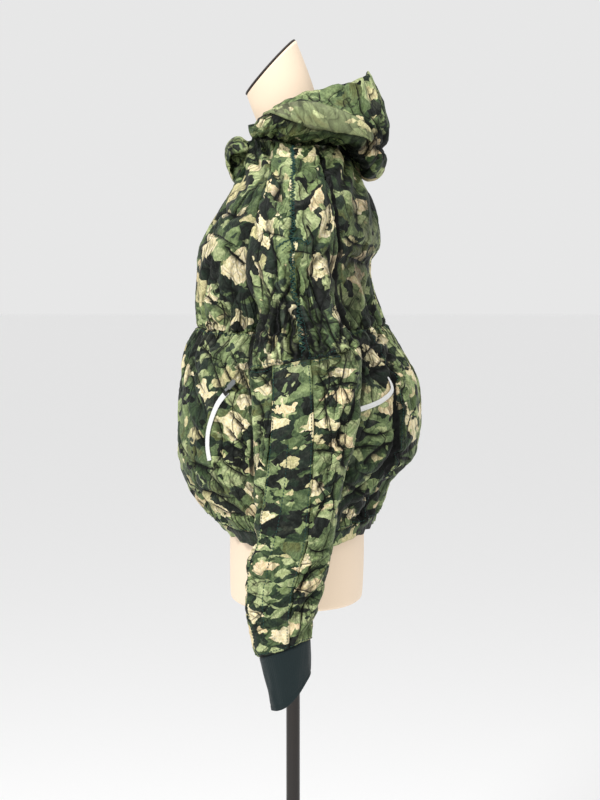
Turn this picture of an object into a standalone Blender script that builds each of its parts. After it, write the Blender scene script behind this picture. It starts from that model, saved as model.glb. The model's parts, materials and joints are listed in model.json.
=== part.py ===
"""Hooded pullover jacket worn by a limbless dress form on a pole and a round foot.

Metres, +Z up. The front of the jacket faces -Y and the wearer's left is +X. The origin
is on the floor, under the middle of the foot. The jacket is cut from crinkled nylon:
every cloth piece is a thin wall through rings worked out from the short tables below,
and neighbouring pieces stay SEAM apart.
"""

import math

import bmesh
import bpy
import numpy as np
from mathutils import Matrix, Vector

# ------------------------------------------------------------------ driving sizes
CLOTH = 0.0014          # wall of the crinkled nylon with its turnings
KNIT = 0.0020           # wall of the knitted cuffs
SEAM = 0.0003           # gap between neighbouring pieces
LIFT = 0.0005           # gap between a panel and what is sewn on it
FOOT_RADIUS = 0.200
FOOT_HEIGHT = 0.012
POLE_RADIUS = 0.0100
FORM_BOTTOM = 0.735
ZIP_WIDTH = 0.0082      # the white tape that shows, edge to edge
ZIP_THICK = 0.0010
TAB_LENGTH = 0.0165
TAB_WIDTH = 0.0074

AROUND_BODY = 48        # columns round the body
AROUND_SLEEVE = 20      # columns round the lower sleeve, of which STRIP_COLUMNS make the strip
STRIP_COLUMNS = 4

# Body, from the neck seam down to the hem. One row for each ring.
# z_front, z_side, z_back: height of the ring there; y_front, y_back: its reach;
# half_x: half width; power: 2 is an ellipse, more is squarer.
BODY_ROWS = [
    # z_front z_side z_back  y_front  y_side y_back  half_x power
    (1.4020, 1.3850, 1.3920, -0.0600, 0.000, 0.0640, 0.0780, 2.0),   # 0 neck seam
    (1.3720, 1.3710, 1.3700, -0.0700, 0.000, 0.0860, 0.1150, 2.0),   # 1
    (1.3350, 1.3520, 1.3380, -0.0830, 0.000, 0.1010, 0.1560, 1.95),  # 2 top of the shoulder
    (1.3000, 1.3200, 1.3080, -0.1040, 0.000, 0.1175, 0.1860, 2.0),   # 3
    (1.2620, 1.2780, 1.2720, -0.1260, 0.000, 0.1260, 0.1960, 2.1),   # 4
    (1.2300, 1.2370, 1.2400, -0.1385, 0.000, 0.1255, 0.1980, 2.2),   # 5 chest
    (1.2000, 1.2050, 1.2160, -0.1400, 0.000, 0.1135, 0.1940, 2.2),   # 6 underarm, back notch
    (1.1640, 1.1640, 1.1720, -0.1400, 0.000, 0.1185, 0.1890, 2.2),   # 7
    (1.1270, 1.1270, 1.1330, -0.1380, 0.000, 0.1340, 0.1870, 2.2),   # 8 gathered waist
    (1.0970, 1.0960, 1.0990, -0.1540, 0.000, 0.1545, 0.1990, 2.2),   # 9
    (1.0550, 1.0550, 1.0560, -0.1645, 0.000, 0.1805, 0.2110, 2.2),   # 10
    (0.9980, 0.9980, 0.9980, -0.1670, 0.000, 0.1865, 0.2180, 2.25),  # 11
    (0.9430, 0.9430, 0.9440, -0.1670, 0.000, 0.1770, 0.2180, 2.25),  # 12
    (0.9080, 0.9060, 0.9100, -0.1580, 0.000, 0.1475, 0.2130, 2.2),   # 13
    (0.8790, 0.8740, 0.8840, -0.1390, 0.000, 0.1340, 0.2030, 2.2),   # 14
    (0.8600, 0.8480, 0.8660, -0.1190, 0.000, 0.1250, 0.1910, 2.2),   # 15 top of the hem
    (0.8450, 0.8270, 0.8490, -0.1040, 0.000, 0.1180, 0.1820, 2.2),   # 16 hem edge
]
NECK, SHOULDER, UNDERARM, WAIST, HEM_TOP, HEM = 0, 2, 6, 8, 15, 16
ARMHOLE = (-24.0, 27.0)     # columns of the raglan seams on the left side, in degrees
BACK_SEAM = 54.0            # seam between the side and back panels below the waist

# Sleeve below the underarm, down to the cuff seam. tilt lowers the front and raises the back.
SLEEVE_ROWS = [
    # z      tilt    y_front  y_back  x_in    x_out   power
    (1.2050, 0.000, -0.0420, 0.0560, 0.1950, 0.2530, 2.2),   # 6 underarm
    (1.1620, 0.000, -0.0370, 0.0560, 0.2050, 0.2670, 2.2),   # 7
    (1.1260, 0.006, -0.0500, 0.0730, 0.2150, 0.2820, 2.2),   # 8
    (1.0940, 0.015, -0.0550, 0.0885, 0.2220, 0.2940, 2.2),   # 9 elbow seam
    (1.0500, 0.008, -0.0530, 0.0900, 0.2280, 0.3020, 2.3),   # 10
    (1.0000, 0.000, -0.0520, 0.0860, 0.2310, 0.3060, 2.3),   # 11
    (0.9500, 0.000, -0.0520, 0.0720, 0.2310, 0.3060, 2.3),   # 12
    (0.9000, 0.000, -0.0500, 0.0610, 0.2305, 0.3045, 2.3),   # 13
    (0.8560, 0.000, -0.0485, 0.0570, 0.2295, 0.3020, 2.3),   # 14
    (0.8200, 0.000, -0.0595, 0.0500, 0.2280, 0.3010, 2.2),   # 15
    (0.7800, 0.002, -0.0625, 0.0400, 0.2290, 0.2990, 2.1),   # 16
    (0.7450, 0.006, -0.0580, 0.0310, 0.2320, 0.2950, 2.1),   # 17
    (0.7090, 0.0125, -0.0475, 0.0235, 0.2370, 0.2885, 2.0),  # 18 cuff seam
]
# Largest folds of the body: troughs that run down the cloth, deeper for positive depth.
BODY_FOLDS = [
    # angle lean first last width depth
    (-150, 3, 6.4, 9.6, 9, 0.0050),
    (-118, -2, 6.8, 9.4, 8, 0.0040),
    (-96, 1, 6.2, 9.8, 7, -0.0030),
    (-70, 2, 6.6, 9.5, 9, 0.0045),
    (-44, -3, 6.3, 9.3, 8, 0.0050),
    (-12, 0, 6.6, 9.6, 9, 0.0040),
    (40, 2, 6.4, 9.3, 8, 0.0045),
    (66, -2, 6.2, 9.8, 8, 0.0055),
    (92, 0, 6.6, 9.6, 8, -0.0040),
    (118, 3, 6.3, 9.7, 9, 0.0050),
    (150, -2, 6.6, 9.4, 9, 0.0045),
    (-60, 5, 12.4, 15.0, 9, 0.0045),
    (-125, -4, 12.6, 15.0, 10, 0.0040),
    (62, -4, 12.2, 15.0, 9, 0.0050),
    (112, 3, 12.5, 15.0, 9, 0.0045),
]
ELBOW, CUFF_SEAM = 9, 18
CUFF_ROWS = [
    # z      tilt    y_front  y_back  x_in    x_out   power
    (0.7085, 0.0125, -0.0445, 0.0240, 0.2395, 0.2865, 2.0),  # 0
    (0.6860, 0.0150, -0.0385, 0.0246, 0.2420, 0.2845, 2.0),  # 1
    (0.6620, 0.0195, -0.0325, 0.0246, 0.2445, 0.2820, 2.0),  # 2
    (0.6365, 0.0245, -0.0275, 0.0246, 0.2470, 0.2800, 2.0),  # 3 slanted end
]
CUFF_BOW = (0.0, 0.002, 0.007, 0.0125)   # how far each ring rises at its front and back
# The strip down the outside of the lower sleeve: its two edges, in degrees round the sleeve.
STRIP_ROWS = [
    # row  front_edge back_edge
    (9.0, -35.0, 4.0),
    (11.0, -38.0, 7.0),
    (12.5, -45.0, 15.0),
    (14.0, -70.0, 14.0),
    (18.0, -78.0, 12.0),
]
# How far the sleeve head stands off the body ring, for rows 0 to 6 of the body.
SLEEVE_HEAD = (0.0, 0.0, 0.003, 0.018, 0.036, 0.050, 0.059)

# Hood lying back: a section of the bag at each angle round the neck, seam to rim.
# -90 is the front, 0 the left side and 90 the back; each point is radius, height.
HOOD_SECTIONS = [
    (-72, ((0.0630, 1.4030), (0.0636, 1.4045), (0.0641, 1.4060), (0.0645, 1.4075), (0.0648, 1.4090), (0.0648, 1.4105), (0.0645, 1.4122), (0.0640, 1.4140))),
    (-45, ((0.0730, 1.3960), (0.0755, 1.3975), (0.0780, 1.3995), (0.0800, 1.4020), (0.0812, 1.4055), (0.0812, 1.4090), (0.0805, 1.4120), (0.0790, 1.4150))),
    (-15, ((0.0790, 1.3880), (0.0860, 1.3910), (0.0930, 1.3960), (0.1010, 1.4030), (0.1060, 1.4150), (0.1040, 1.4260), (0.0985, 1.4315), (0.0935, 1.4370))),
    (15, ((0.0800, 1.3870), (0.0930, 1.3900), (0.1060, 1.3950), (0.1200, 1.4030), (0.1270, 1.4240), (0.1200, 1.4410), (0.1110, 1.4490), (0.1020, 1.4585))),
    (45, ((0.0780, 1.3880), (0.0980, 1.3840), (0.1180, 1.3850), (0.1360, 1.3950), (0.1440, 1.4140), (0.1370, 1.4310), (0.1250, 1.4490), (0.1130, 1.4700))),
    (70, ((0.0730, 1.3940), (0.0950, 1.3770), (0.1120, 1.3540), (0.1310, 1.3630), (0.1390, 1.4000), (0.1370, 1.4240), (0.1280, 1.4530), (0.1130, 1.4840))),
    (90, ((0.0700, 1.3970), (0.0920, 1.3725), (0.1080, 1.3380), (0.1265, 1.3450), (0.1315, 1.3960), (0.1310, 1.4300), (0.1240, 1.4620), (0.1070, 1.4930))),
]
HOOD_RIM = 7.0
# Rolled hem band round the hood: the stretch of the section that it covers and how far its
# middle stands off, at each angle round the neck. It tapers out at the front.
BRIM_ROWS = [
    # angle top   bottom stand
    (-26, 6.80, 6.10, 0.0006),
    (-14, 6.30, 4.85, 0.0022),
    (0, 5.65, 3.65, 0.0036),
    (15, 4.95, 3.10, 0.0042),
    (30, 4.50, 3.00, 0.0042),
    (42, 4.10, 3.00, 0.0034),
    (52, 3.55, 3.10, 0.0020),
]
# Fallen front corner of the collar, one on each side of the opening: a roll about X.
LAPEL_ROWS = [
    # y       z       x_end   y_end    z_end    (the middle edge is at x = 7 mm)
    (-0.0860, 1.3370, 0.0360, -0.0850, 1.3370),
    (-0.0925, 1.3540, 0.0400, -0.0890, 1.3530),
    (-0.0965, 1.3740, 0.0500, -0.0905, 1.3660),
    (-0.0925, 1.3900, 0.0580, -0.0860, 1.3715),
    (-0.0820, 1.3985, 0.0610, -0.0770, 1.3725),
    (-0.0715, 1.3975, 0.0600, -0.0680, 1.3745),
    (-0.0655, 1.3900, 0.0540, -0.0640, 1.3790),
]

# Dress form, bottom to top.
FORM_ROWS = [
    # z_front z_side z_back  y_front  y_side  y_back  half_x power
    (0.7350, 0.7350, 0.7350, -0.0820, 0.005, 0.0920, 0.1400, 2.3),
    (0.7380, 0.7380, 0.7380, -0.0880, 0.005, 0.0980, 0.1490, 2.3),
    (0.7480, 0.7480, 0.7480, -0.0910, 0.005, 0.1010, 0.1540, 2.3),
    (0.8100, 0.8100, 0.8100, -0.0915, 0.005, 0.1030, 0.1620, 2.3),
    (0.8700, 0.8700, 0.8700, -0.0910, 0.005, 0.1010, 0.1610, 2.3),
    (0.9600, 0.9600, 0.9600, -0.0880, 0.003, 0.0920, 0.1430, 2.2),
    (1.0500, 1.0500, 1.0500, -0.0860, 0.000, 0.0780, 0.1220, 2.1),
    (1.1300, 1.1300, 1.1300, -0.0930, 0.000, 0.0800, 0.1290, 2.1),
    (1.2100, 1.2100, 1.2100, -0.1120, 0.000, 0.0880, 0.1460, 2.1),
    (1.2600, 1.2650, 1.2700, -0.1050, 0.000, 0.0940, 0.1540, 2.1),
    (1.3000, 1.3140, 1.3120, -0.0860, 0.000, 0.0920, 0.1510, 2.0),
    (1.3360, 1.3400, 1.3400, -0.0700, 0.000, 0.0800, 0.1240, 2.0),
    (1.3650, 1.3620, 1.3680, -0.0560, 0.000, 0.0640, 0.0840, 2.0),
    (1.3900, 1.3880, 1.4000, -0.0490, 0.000, 0.0530, 0.0600, 2.0),
    (1.4200, 1.4230, 1.4380, -0.0520, -0.005, 0.0400, 0.0530, 2.0),
    (1.4410, 1.4640, 1.4870, -0.0595, -0.017, 0.0240, 0.0510, 2.0),
    (1.4590, 1.4980, 1.5370, -0.0660, -0.031, 0.0045, 0.0500, 2.0),
]

# Middle lines of the zips on the body, as angle round the body and body row.
POCKET_ZIP = [(-29.5, 10.17), (-35.5, 10.52), (-40.2, 11.03), (-41.2, 11.46), (-39.8, 11.85)]
REAR_ZIP = [(20.0, 10.66), (28.0, 10.58), (38.8, 10.42), (46.0, 10.19), (45.2, 9.85)]


# ------------------------------------------------------------------ shapes from tables
def along(table, t):
    """Every column of a table at row position t, by a smooth curve through its rows."""
    rows = np.array(table, float)
    t = np.clip(np.asarray(t, float), 0, len(rows) - 1)
    i = np.minimum(t.astype(int), len(rows) - 2)
    f = (t - i)[..., None]
    a, b = rows[i], rows[i + 1]
    slope_a = 0.5 * (b - rows[np.maximum(i - 1, 0)])
    slope_b = 0.5 * (rows[np.minimum(i + 2, len(rows) - 1)] - a)
    return (
        (2 * f**3 - 3 * f**2 + 1) * a
        + (f**3 - 2 * f**2 + f) * slope_a
        + (-2 * f**3 + 3 * f**2) * b
        + (f**3 - f**2) * slope_b
    )


def keyed(table, key):
    """Columns after the first of a table, at a value of its first column."""
    keys = np.array([row[0] for row in table], float)
    place = np.interp(key, keys, np.arange(len(keys)))
    return along([row[1:] for row in table], place)


def ring(table, u, v):
    """Point at angle u (degrees, 0 is +X, 90 is +Y) of the ring at row v of a ring table."""
    u, v = np.broadcast_arrays(np.asarray(u, float), np.asarray(v, float))
    z_front, z_side, z_back, y_front, y_side, y_back, half_x, power = np.moveaxis(along(table, v), -1, 0)
    c, s = np.cos(np.radians(u)), np.sin(np.radians(u))
    side = np.sign(c) * np.abs(c) ** (2 / power)
    ahead = np.sign(s) * np.abs(s) ** (2 / power)
    y = y_side + np.where(s < 0, (y_side - y_front) * ahead, (y_back - y_side) * ahead)
    z = z_side + 0.5 * (z_back - z_front) * s + (0.5 * (z_front + z_back) - z_side) * s**2
    return np.stack([half_x * side, y, z], -1)


def folds(table, u, v):
    """Depth of the largest folds at angle u and row v: each is a soft trough along the rows."""
    depth = np.zeros(np.broadcast(u, v).shape)
    for centre, lean, first, last, width, deep in table:
        middle = 0.5 * (first + last)
        across = (u - centre - lean * (v - middle) + 180.0) % 360.0 - 180.0
        share = np.clip((v - first) / (last - first), 0, 1)
        depth = depth + deep * np.exp(-((across / width) ** 2)) * np.sin(np.pi * share) ** 2
    return depth


def body(u, v):
    u, v = np.broadcast_arrays(np.asarray(u, float), np.asarray(v, float))
    points = ring(BODY_ROWS, u, v)
    depth = folds(BODY_FOLDS, u, v)
    return points - depth[..., None] * np.stack([np.cos(np.radians(u)), np.sin(np.radians(u)), 0 * u], -1)


def sleeve_ring(table, q, row):
    z, tilt, y_front, y_back, x_in, x_out, power = np.moveaxis(along(table, row), -1, 0)
    c, s = np.cos(np.radians(q)), np.sin(np.radians(q))
    x = 0.5 * (x_in + x_out) + 0.5 * (x_out - x_in) * np.sign(c) * np.abs(c) ** (2 / power)
    y = 0.5 * (y_front + y_back) + 0.5 * (y_back - y_front) * np.sign(s) * np.abs(s) ** (2 / power)
    return np.stack([x, y, z + tilt * s], -1)


HEAD_ANGLE = 110.0      # the sleeve's columns from -110 to 110 degrees run up to the neck


def sleeve_head(q, row):
    """Raglan part of the sleeve, rows 0 to 6, over the shoulder from seam to seam."""
    a = np.clip(q / HEAD_ANGLE, -1, 1)
    u = np.where(a < 0, -a * ARMHOLE[0], a * ARMHOLE[1])
    stand = np.interp(row, np.arange(len(SLEEVE_HEAD)), SLEEVE_HEAD)
    low = np.clip((row - 2) / 4, 0, 1)
    soft = (1 - a**2) ** 1.5
    tube = np.sqrt(np.clip(1 - np.abs(a) ** 2.6, 0, 1))
    points = body(u, row)
    points[..., 0] += stand * ((1 - low) * soft + low * tube)
    return points


def sleeve(q, row):
    """Left sleeve: q in degrees round it (0 outward, 90 back), row 0 at the neck to 18."""
    q, row = np.broadcast_arrays(np.asarray(q, float), np.asarray(row, float))
    q = (q + 180.0) % 360.0 - 180.0
    head = sleeve_head(q, np.clip(row, 0, UNDERARM))
    a = np.clip((np.abs(q) - HEAD_ANGLE) / (180.0 - HEAD_ANGLE), 0, 1)
    edge = np.where(q < 0, ARMHOLE[0], ARMHOLE[1])
    under = body(edge * (1 - a), np.full(q.shape, float(UNDERARM)))
    under[..., 0] += 0.0022 * np.sin(np.pi * np.clip(a * 1.0, 0, 0.5))
    loop = np.where((np.abs(q) <= HEAD_ANGLE)[..., None], head, under)
    tube = sleeve_ring(SLEEVE_ROWS, q, np.clip(row - UNDERARM, 0, None))
    mix = np.clip((row - UNDERARM) / 1.6, 0, 1)
    mix = (mix**2 * (3 - 2 * mix))[..., None]
    drop = np.where(row > UNDERARM, along(SLEEVE_ROWS, np.clip(row - UNDERARM, 0, None))[..., 0] - SLEEVE_ROWS[0][0], 0.0)
    lowered = loop.copy()
    lowered[..., 2] += drop
    return lowered * (1 - mix) + tube * mix


def strip_angle(share, row):
    """Angle round the sleeve of a column: 0 to 1 goes once round, starting at the strip."""
    low, high = np.moveaxis(keyed(STRIP_ROWS, row), -1, 0)
    across = STRIP_COLUMNS / AROUND_SLEEVE
    return np.where(
        share <= across,
        low + (high - low) * share / across,
        high + (360 - high + low) * (share - across) / (1 - across),
    )


def hood(angle, s):
    """Outside of the hood at an angle round the neck and s from 0, the seam, to 7, the rim."""
    angle, s = np.broadcast_arrays(np.asarray(angle, float), np.asarray(s, float))
    folded = np.where(angle > 90, 180 - angle, angle)
    keys = [row[0] for row in HOOD_SECTIONS]
    place = np.interp(folded, keys, np.arange(len(keys)))
    sections = np.array([row[1] for row in HOOD_SECTIONS])
    count, points, _ = sections.shape
    radial = along(sections.reshape(count, -1), place).reshape(angle.shape + (points, 2))
    i = np.minimum(s.astype(int), points - 2)
    f = (s - i)[..., None]
    pick = lambda k: np.take_along_axis(radial, np.clip(k, 0, points - 1)[..., None, None], -2)[..., 0, :]
    a, b = pick(i), pick(i + 1)
    slope_a, slope_b = 0.5 * (b - pick(i - 1)), 0.5 * (pick(i + 2) - a)
    rz = (2 * f**3 - 3 * f**2 + 1) * a + (f**3 - 2 * f**2 + f) * slope_a + (-2 * f**3 + 3 * f**2) * b + (f**3 - f**2) * slope_b
    rad = np.radians(angle)
    return np.stack([rz[..., 0] * np.cos(rad), rz[..., 0] * np.sin(rad), rz[..., 1]], -1)


def brim(angle, w):
    """Rolled hem band of the hood: w from 0 at its top edge to 1 at its lower, free edge."""
    angle, w = np.broadcast_arrays(np.asarray(angle, float), np.asarray(w, float))
    top, bottom, stand = np.moveaxis(keyed(BRIM_ROWS, angle), -1, 0)
    s = top + (bottom - top) * w
    out = normals(hood, angle, s, -1.0)
    return hood(angle, s) + out * (0.0028 + stand * np.sin(np.pi * np.clip(w, 0, 1)))[..., None]


def lapel(s, w):
    """Left fallen collar corner: s along the roll from the chest, w from the middle outward."""
    s, w = np.broadcast_arrays(np.asarray(s, float), np.asarray(w, float))
    y, z, x_end, y_end, z_end = np.moveaxis(along(LAPEL_ROWS, s), -1, 0)
    start = np.stack([np.full(y.shape, 0.0070), y, z], -1)
    bend = np.stack([x_end + 0.003, y, z + 0.001], -1)
    end = np.stack([x_end, y_end, z_end], -1)
    w = w[..., None]
    return (1 - w) ** 2 * start + 2 * w * (1 - w) * bend + w**2 * end


def normals(surface, a, b, sign=1.0):
    """Unit normals of a surface function, outward for sign 1 where b runs down the cloth."""
    step_a, step_b = 0.4, 0.02
    along_a = surface(a + step_a, b) - surface(a - step_a, b)
    along_b = surface(a, b + step_b) - surface(a, b - step_b)
    n = np.cross(along_b, along_a) * sign
    return n / np.maximum(np.linalg.norm(n, axis=-1, keepdims=True), 1e-12)


# ------------------------------------------------------------------ making objects
def clear_scene():
    for obj in list(bpy.data.objects):
        bpy.data.objects.remove(obj, do_unlink=True)
    for old in list(bpy.data.collections):
        bpy.data.collections.remove(old)


def material(name, colour, roughness, metallic=0.0):
    mat = bpy.data.materials.new(name)
    mat.use_nodes = True
    shader = mat.node_tree.nodes["Principled BSDF"]
    shader.inputs["Base Color"].default_value = (*colour, 1.0)
    shader.inputs["Roughness"].default_value = roughness
    shader.inputs["Metallic"].default_value = metallic
    mat.diffuse_color = (*colour, 1.0)
    return mat


def put(name, mesh, mat, smooth_angle=40):
    mesh.materials.clear()
    mesh.materials.append(mat)
    mesh.shade_smooth()
    mesh.set_sharp_from_angle(angle=math.radians(smooth_angle))
    obj = bpy.data.objects.new(name, mesh)
    JACKET.objects.link(obj)
    return obj


def pull_in(points, cells, closed, gap):
    """Moves the edge of a sheet inward along itself by gap, one or one for each point, mitred at its corners."""
    across, down = cells.shape
    columns = points.shape[0]
    pushes = {}
    for i in range(across):
        for j in range(down):
            if not cells[i, j]:
                continue
            i2 = (i + 1) % columns
            corner = {"a": (i, j), "b": (i2, j), "c": (i2, j + 1), "d": (i, j + 1)}
            middle = sum(points[k] for k in corner.values()) / 4
            before = (i - 1) % across if closed else i - 1
            after = (i + 1) % across if closed else i + 1
            open_sides = (
                ("a", "b", j == 0 or not cells[i, j - 1]),
                ("d", "c", j == down - 1 or not cells[i, j + 1]),
                ("a", "d", before < 0 or not cells[before, j]),
                ("b", "c", after >= across or not cells[after, j]),
            )
            for first, last, is_open in open_sides:
                if not is_open:
                    continue
                start, end = points[corner[first]], points[corner[last]]
                run = (end - start) / max(np.linalg.norm(end - start), 1e-9)
                inward = middle - 0.5 * (start + end)
                inward = inward - run * np.dot(inward, run)
                inward = inward / max(np.linalg.norm(inward), 1e-9)
                pushes.setdefault(corner[first], []).append(inward)
                pushes.setdefault(corner[last], []).append(inward)
    moved = points.copy()
    gaps = np.broadcast_to(gap, points.shape[:2])
    for key, found in pushes.items():
        total = np.sum(found, axis=0) / len(found)
        length = np.linalg.norm(total)
        moved[key] = points[key] + total / max(length, 1e-6) * gaps[key] / max(length, 0.5)
    return moved


def wall(name, points, outward, mat, thick=CLOTH, cells=None, closed=False, gap=SEAM / 2, mirror=False):
    """Closed wall: the outer skin through a grid of points, and an inner skin thick inside it."""
    columns, rows, _ = points.shape
    across = columns if closed else columns - 1
    if cells is None:
        cells = np.ones((across, rows - 1), bool)
    outer = pull_in(points, cells, closed, gap)
    inner = outer - outward * thick
    facing = np.cross(points[:-1, 1:] - points[:-1, :-1], points[1:, :-1] - points[:-1, :-1])
    turned = np.sum(facing * outward[:-1, :-1]) < 0
    if mirror:
        flip = np.array([-1.0, 1.0, 1.0])
        outer, inner = outer * flip, inner * flip
    turned = turned != mirror
    bm = bmesh.new()
    made = {}

    def vertex(layer, key):
        if (layer, key) not in made:
            source = outer if layer == 0 else inner
            made[layer, key] = bm.verts.new(Vector(source[key]))
        return made[layer, key]

    def face(corners):
        bm.faces.new(corners[::-1] if turned else corners)

    for i in range(across):
        for j in range(rows - 1):
            if not cells[i, j]:
                continue
            i2 = (i + 1) % columns
            quad = [(i, j), (i, j + 1), (i2, j + 1), (i2, j)]
            for half in ((0, 1, 2), (0, 2, 3)):
                face([vertex(0, quad[k]) for k in half])
                face([vertex(1, quad[k]) for k in half[::-1]])
            before = (i - 1) % across if closed else i - 1
            after = (i + 1) % across if closed else i + 1
            if before < 0 or not cells[before, j]:
                face([vertex(0, quad[1]), vertex(0, quad[0]), vertex(1, quad[0]), vertex(1, quad[1])])
            if j == rows - 2 or not cells[i, j + 1]:
                face([vertex(0, quad[2]), vertex(0, quad[1]), vertex(1, quad[1]), vertex(1, quad[2])])
            if after >= across or not cells[after, j]:
                face([vertex(0, quad[3]), vertex(0, quad[2]), vertex(1, quad[2]), vertex(1, quad[3])])
            if j == 0 or not cells[i, j - 1]:
                face([vertex(0, quad[0]), vertex(0, quad[3]), vertex(1, quad[3]), vertex(1, quad[0])])
    mesh = bpy.data.meshes.new(name)
    bm.to_mesh(mesh)
    bm.free()
    return put(name, mesh, mat)


def grid(first, second):
    return np.meshgrid(np.asarray(first, float), np.asarray(second, float), indexing="ij")


# ------------------------------------------------------------------ the pieces
clear_scene()
JACKET = bpy.data.collections.new("pullover_jacket_on_form")
CUTTERS = bpy.data.collections.new("cutters")
bpy.context.scene.collection.children.link(JACKET)
bpy.context.scene.collection.children.link(CUTTERS)
CUTTERS.hide_render = True

camo = {
    name: material("camouflage_nylon_" + name, colour, 0.5)
    for name, colour in (
        ("front", (0.15, 0.19, 0.10)),
        ("back", (0.11, 0.15, 0.08)),
        ("side", (0.19, 0.23, 0.13)),
        ("sleeve", (0.13, 0.18, 0.11)),
        ("strip", (0.22, 0.27, 0.15)),
        ("hood", (0.17, 0.21, 0.12)),
        ("brim", (0.42, 0.45, 0.28)),
        ("collar", (0.30, 0.33, 0.20)),
        ("hem", (0.20, 0.24, 0.14)),
    )
}
knit = material("dark_teal_knit", (0.010, 0.022, 0.024), 0.85)
zip_white = material("white_zip_tape", (0.80, 0.81, 0.80), 0.6)
zip_black = material("black_zip_slider", (0.02, 0.02, 0.02), 0.4)
tab_grey = material("grey_pull_tab", (0.13, 0.14, 0.14), 0.45)
jersey = material("beige_form_cover", (0.90, 0.70, 0.54), 0.8)
trim_dark = material("dark_neck_trim", (0.02, 0.015, 0.012), 0.6)
pole_dark = material("dark_brown_pole", (0.012, 0.008, 0.006), 0.35)
foot_dark = material("dark_painted_foot", (0.015, 0.011, 0.009), 0.4)


def dress_form():
    """Foam torso with a slanted neck top, its dark edge trim, the pole and the round foot."""
    around = np.arange(0, 360, 360 / 32)
    u, v = grid(around, np.arange(len(FORM_ROWS)))
    points = ring(FORM_ROWS, u, v)
    bm = bmesh.new()
    rings = [[bm.verts.new(Vector(points[i, j])) for i in range(len(around))] for j in range(len(FORM_ROWS))]
    for below, above in zip(rings, rings[1:]):
        for i in range(len(around)):
            k = (i + 1) % len(around)
            bm.faces.new([below[i], below[k], above[k], above[i]])
    bm.faces.new(rings[0][::-1])
    bm.faces.new(rings[-1])
    mesh = bpy.data.meshes.new("form_torso")
    bm.to_mesh(mesh)
    bm.free()
    put("form_torso", mesh, jersey)

    # The trim is a flat band standing on the slanted neck top, just inside its edge.
    top = points[:, -1]
    middle = top.mean(axis=0)
    up = np.cross(top[8] - middle, top[0] - middle)
    up = up / np.linalg.norm(up) * (1 if up[2] > 0 else -1)
    if up[2] < 0:
        up = -up
    bm = bmesh.new()
    loops = []
    for share, lift in ((1.000, 0.0003), (1.000, 0.0035), (0.930, 0.0035), (0.930, 0.0003)):
        loops.append([bm.verts.new(Vector(middle + (p - middle) * share + up * lift)) for p in top])
    for a, b in zip(loops, loops[1:] + loops[:1]):
        for i in range(len(top)):
            k = (i + 1) % len(top)
            bm.faces.new([a[i], a[k], b[k], b[i]])
    bmesh.ops.recalc_face_normals(bm, faces=bm.faces)
    mesh = bpy.data.meshes.new("form_neck_trim")
    bm.to_mesh(mesh)
    bm.free()
    put("form_neck_trim", mesh, trim_dark)

    height = FORM_BOTTOM - FOOT_HEIGHT - 2 * SEAM
    bpy.ops.mesh.primitive_cylinder_add(vertices=24, radius=POLE_RADIUS, depth=height, location=(0, 0, FOOT_HEIGHT + SEAM + height / 2))
    move_to_collection("form_pole", pole_dark)
    bpy.ops.mesh.primitive_cylinder_add(vertices=48, radius=FOOT_RADIUS, depth=FOOT_HEIGHT, location=(0, 0, FOOT_HEIGHT / 2))
    foot = move_to_collection("form_foot", foot_dark)
    edge = foot.modifiers.new("edge", "BEVEL")
    edge.width, edge.segments, edge.limit_method, edge.angle_limit = 0.003, 2, "ANGLE", math.radians(50)


def move_to_collection(name, mat):
    obj = bpy.context.object
    obj.name = name
    obj.data.name = name
    for old in list(obj.users_collection):
        old.objects.unlink(obj)
    JACKET.objects.link(obj)
    obj.data.materials.clear()
    obj.data.materials.append(mat)
    obj.data.shade_smooth()
    obj.data.set_sharp_from_angle(angle=math.radians(40))
    return obj


def body_pieces():
    step = 360 / AROUND_BODY
    raglan_front, raglan_back = ARMHOLE

    # Every seam falls on a column, and all pieces share the columns.
    marks = (-180, -180 - raglan_front, -106, -74, raglan_front, 0, raglan_back, BACK_SEAM, 180 - BACK_SEAM, 180 - raglan_back, 180)
    shared = [float(marks[0])]
    for a, b in zip(marks, marks[1:]):
        count = max(1, round((b - a) / step))
        shared += [a + (b - a) * (k + 1) / count for k in range(count)]

    def piece(name, low, high, rows, mat, skip=None):
        cols = np.array([c for c in shared if low - 1e-6 <= c <= high + 1e-6])
        u, v = grid(cols, rows)
        cells = np.ones((len(cols) - 1, len(rows) - 1), bool)
        if skip:
            for i in range(len(cols) - 1):
                for j in range(len(rows) - 1):
                    cells[i, j] = not skip(0.5 * (cols[i] + cols[i + 1]), 0.5 * (rows[j] + rows[j + 1]))
        return wall(name, body(u, v), normals(body, u, v), mat, cells=cells)

    upper = [0, 1, 2, 3, 4, 5, 5.5, 6, 7, 8]
    lower = [8, 9, 10, 11, 12, 13, 14, 15]

    def front_skip(u, v):
        in_armhole = v < UNDERARM and (u > raglan_front or u < -180 - raglan_front)
        in_neck = v < SHOULDER and abs(u + 90) < 16
        return in_armhole or in_neck

    def back_skip(u, v):
        return v < UNDERARM and (u < raglan_back or u > 180 - raglan_back)

    piece("front_upper", -180, 0, upper, camo["front"], front_skip)
    piece("back_upper", 0, 180, upper, camo["back"], back_skip)
    piece("front_lower", -180, 0, lower, camo["front"])
    piece("side_lower_L", 0, BACK_SEAM, lower, camo["side"])
    piece("side_lower_R", 180 - BACK_SEAM, 180, lower, camo["side"])
    piece("back_lower", BACK_SEAM, 180 - BACK_SEAM, lower, camo["back"])
    piece("hem_front", -180, 0, [15, 16], camo["hem"])
    piece("hem_back", 0, 180, [15, 16], camo["hem"])


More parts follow.
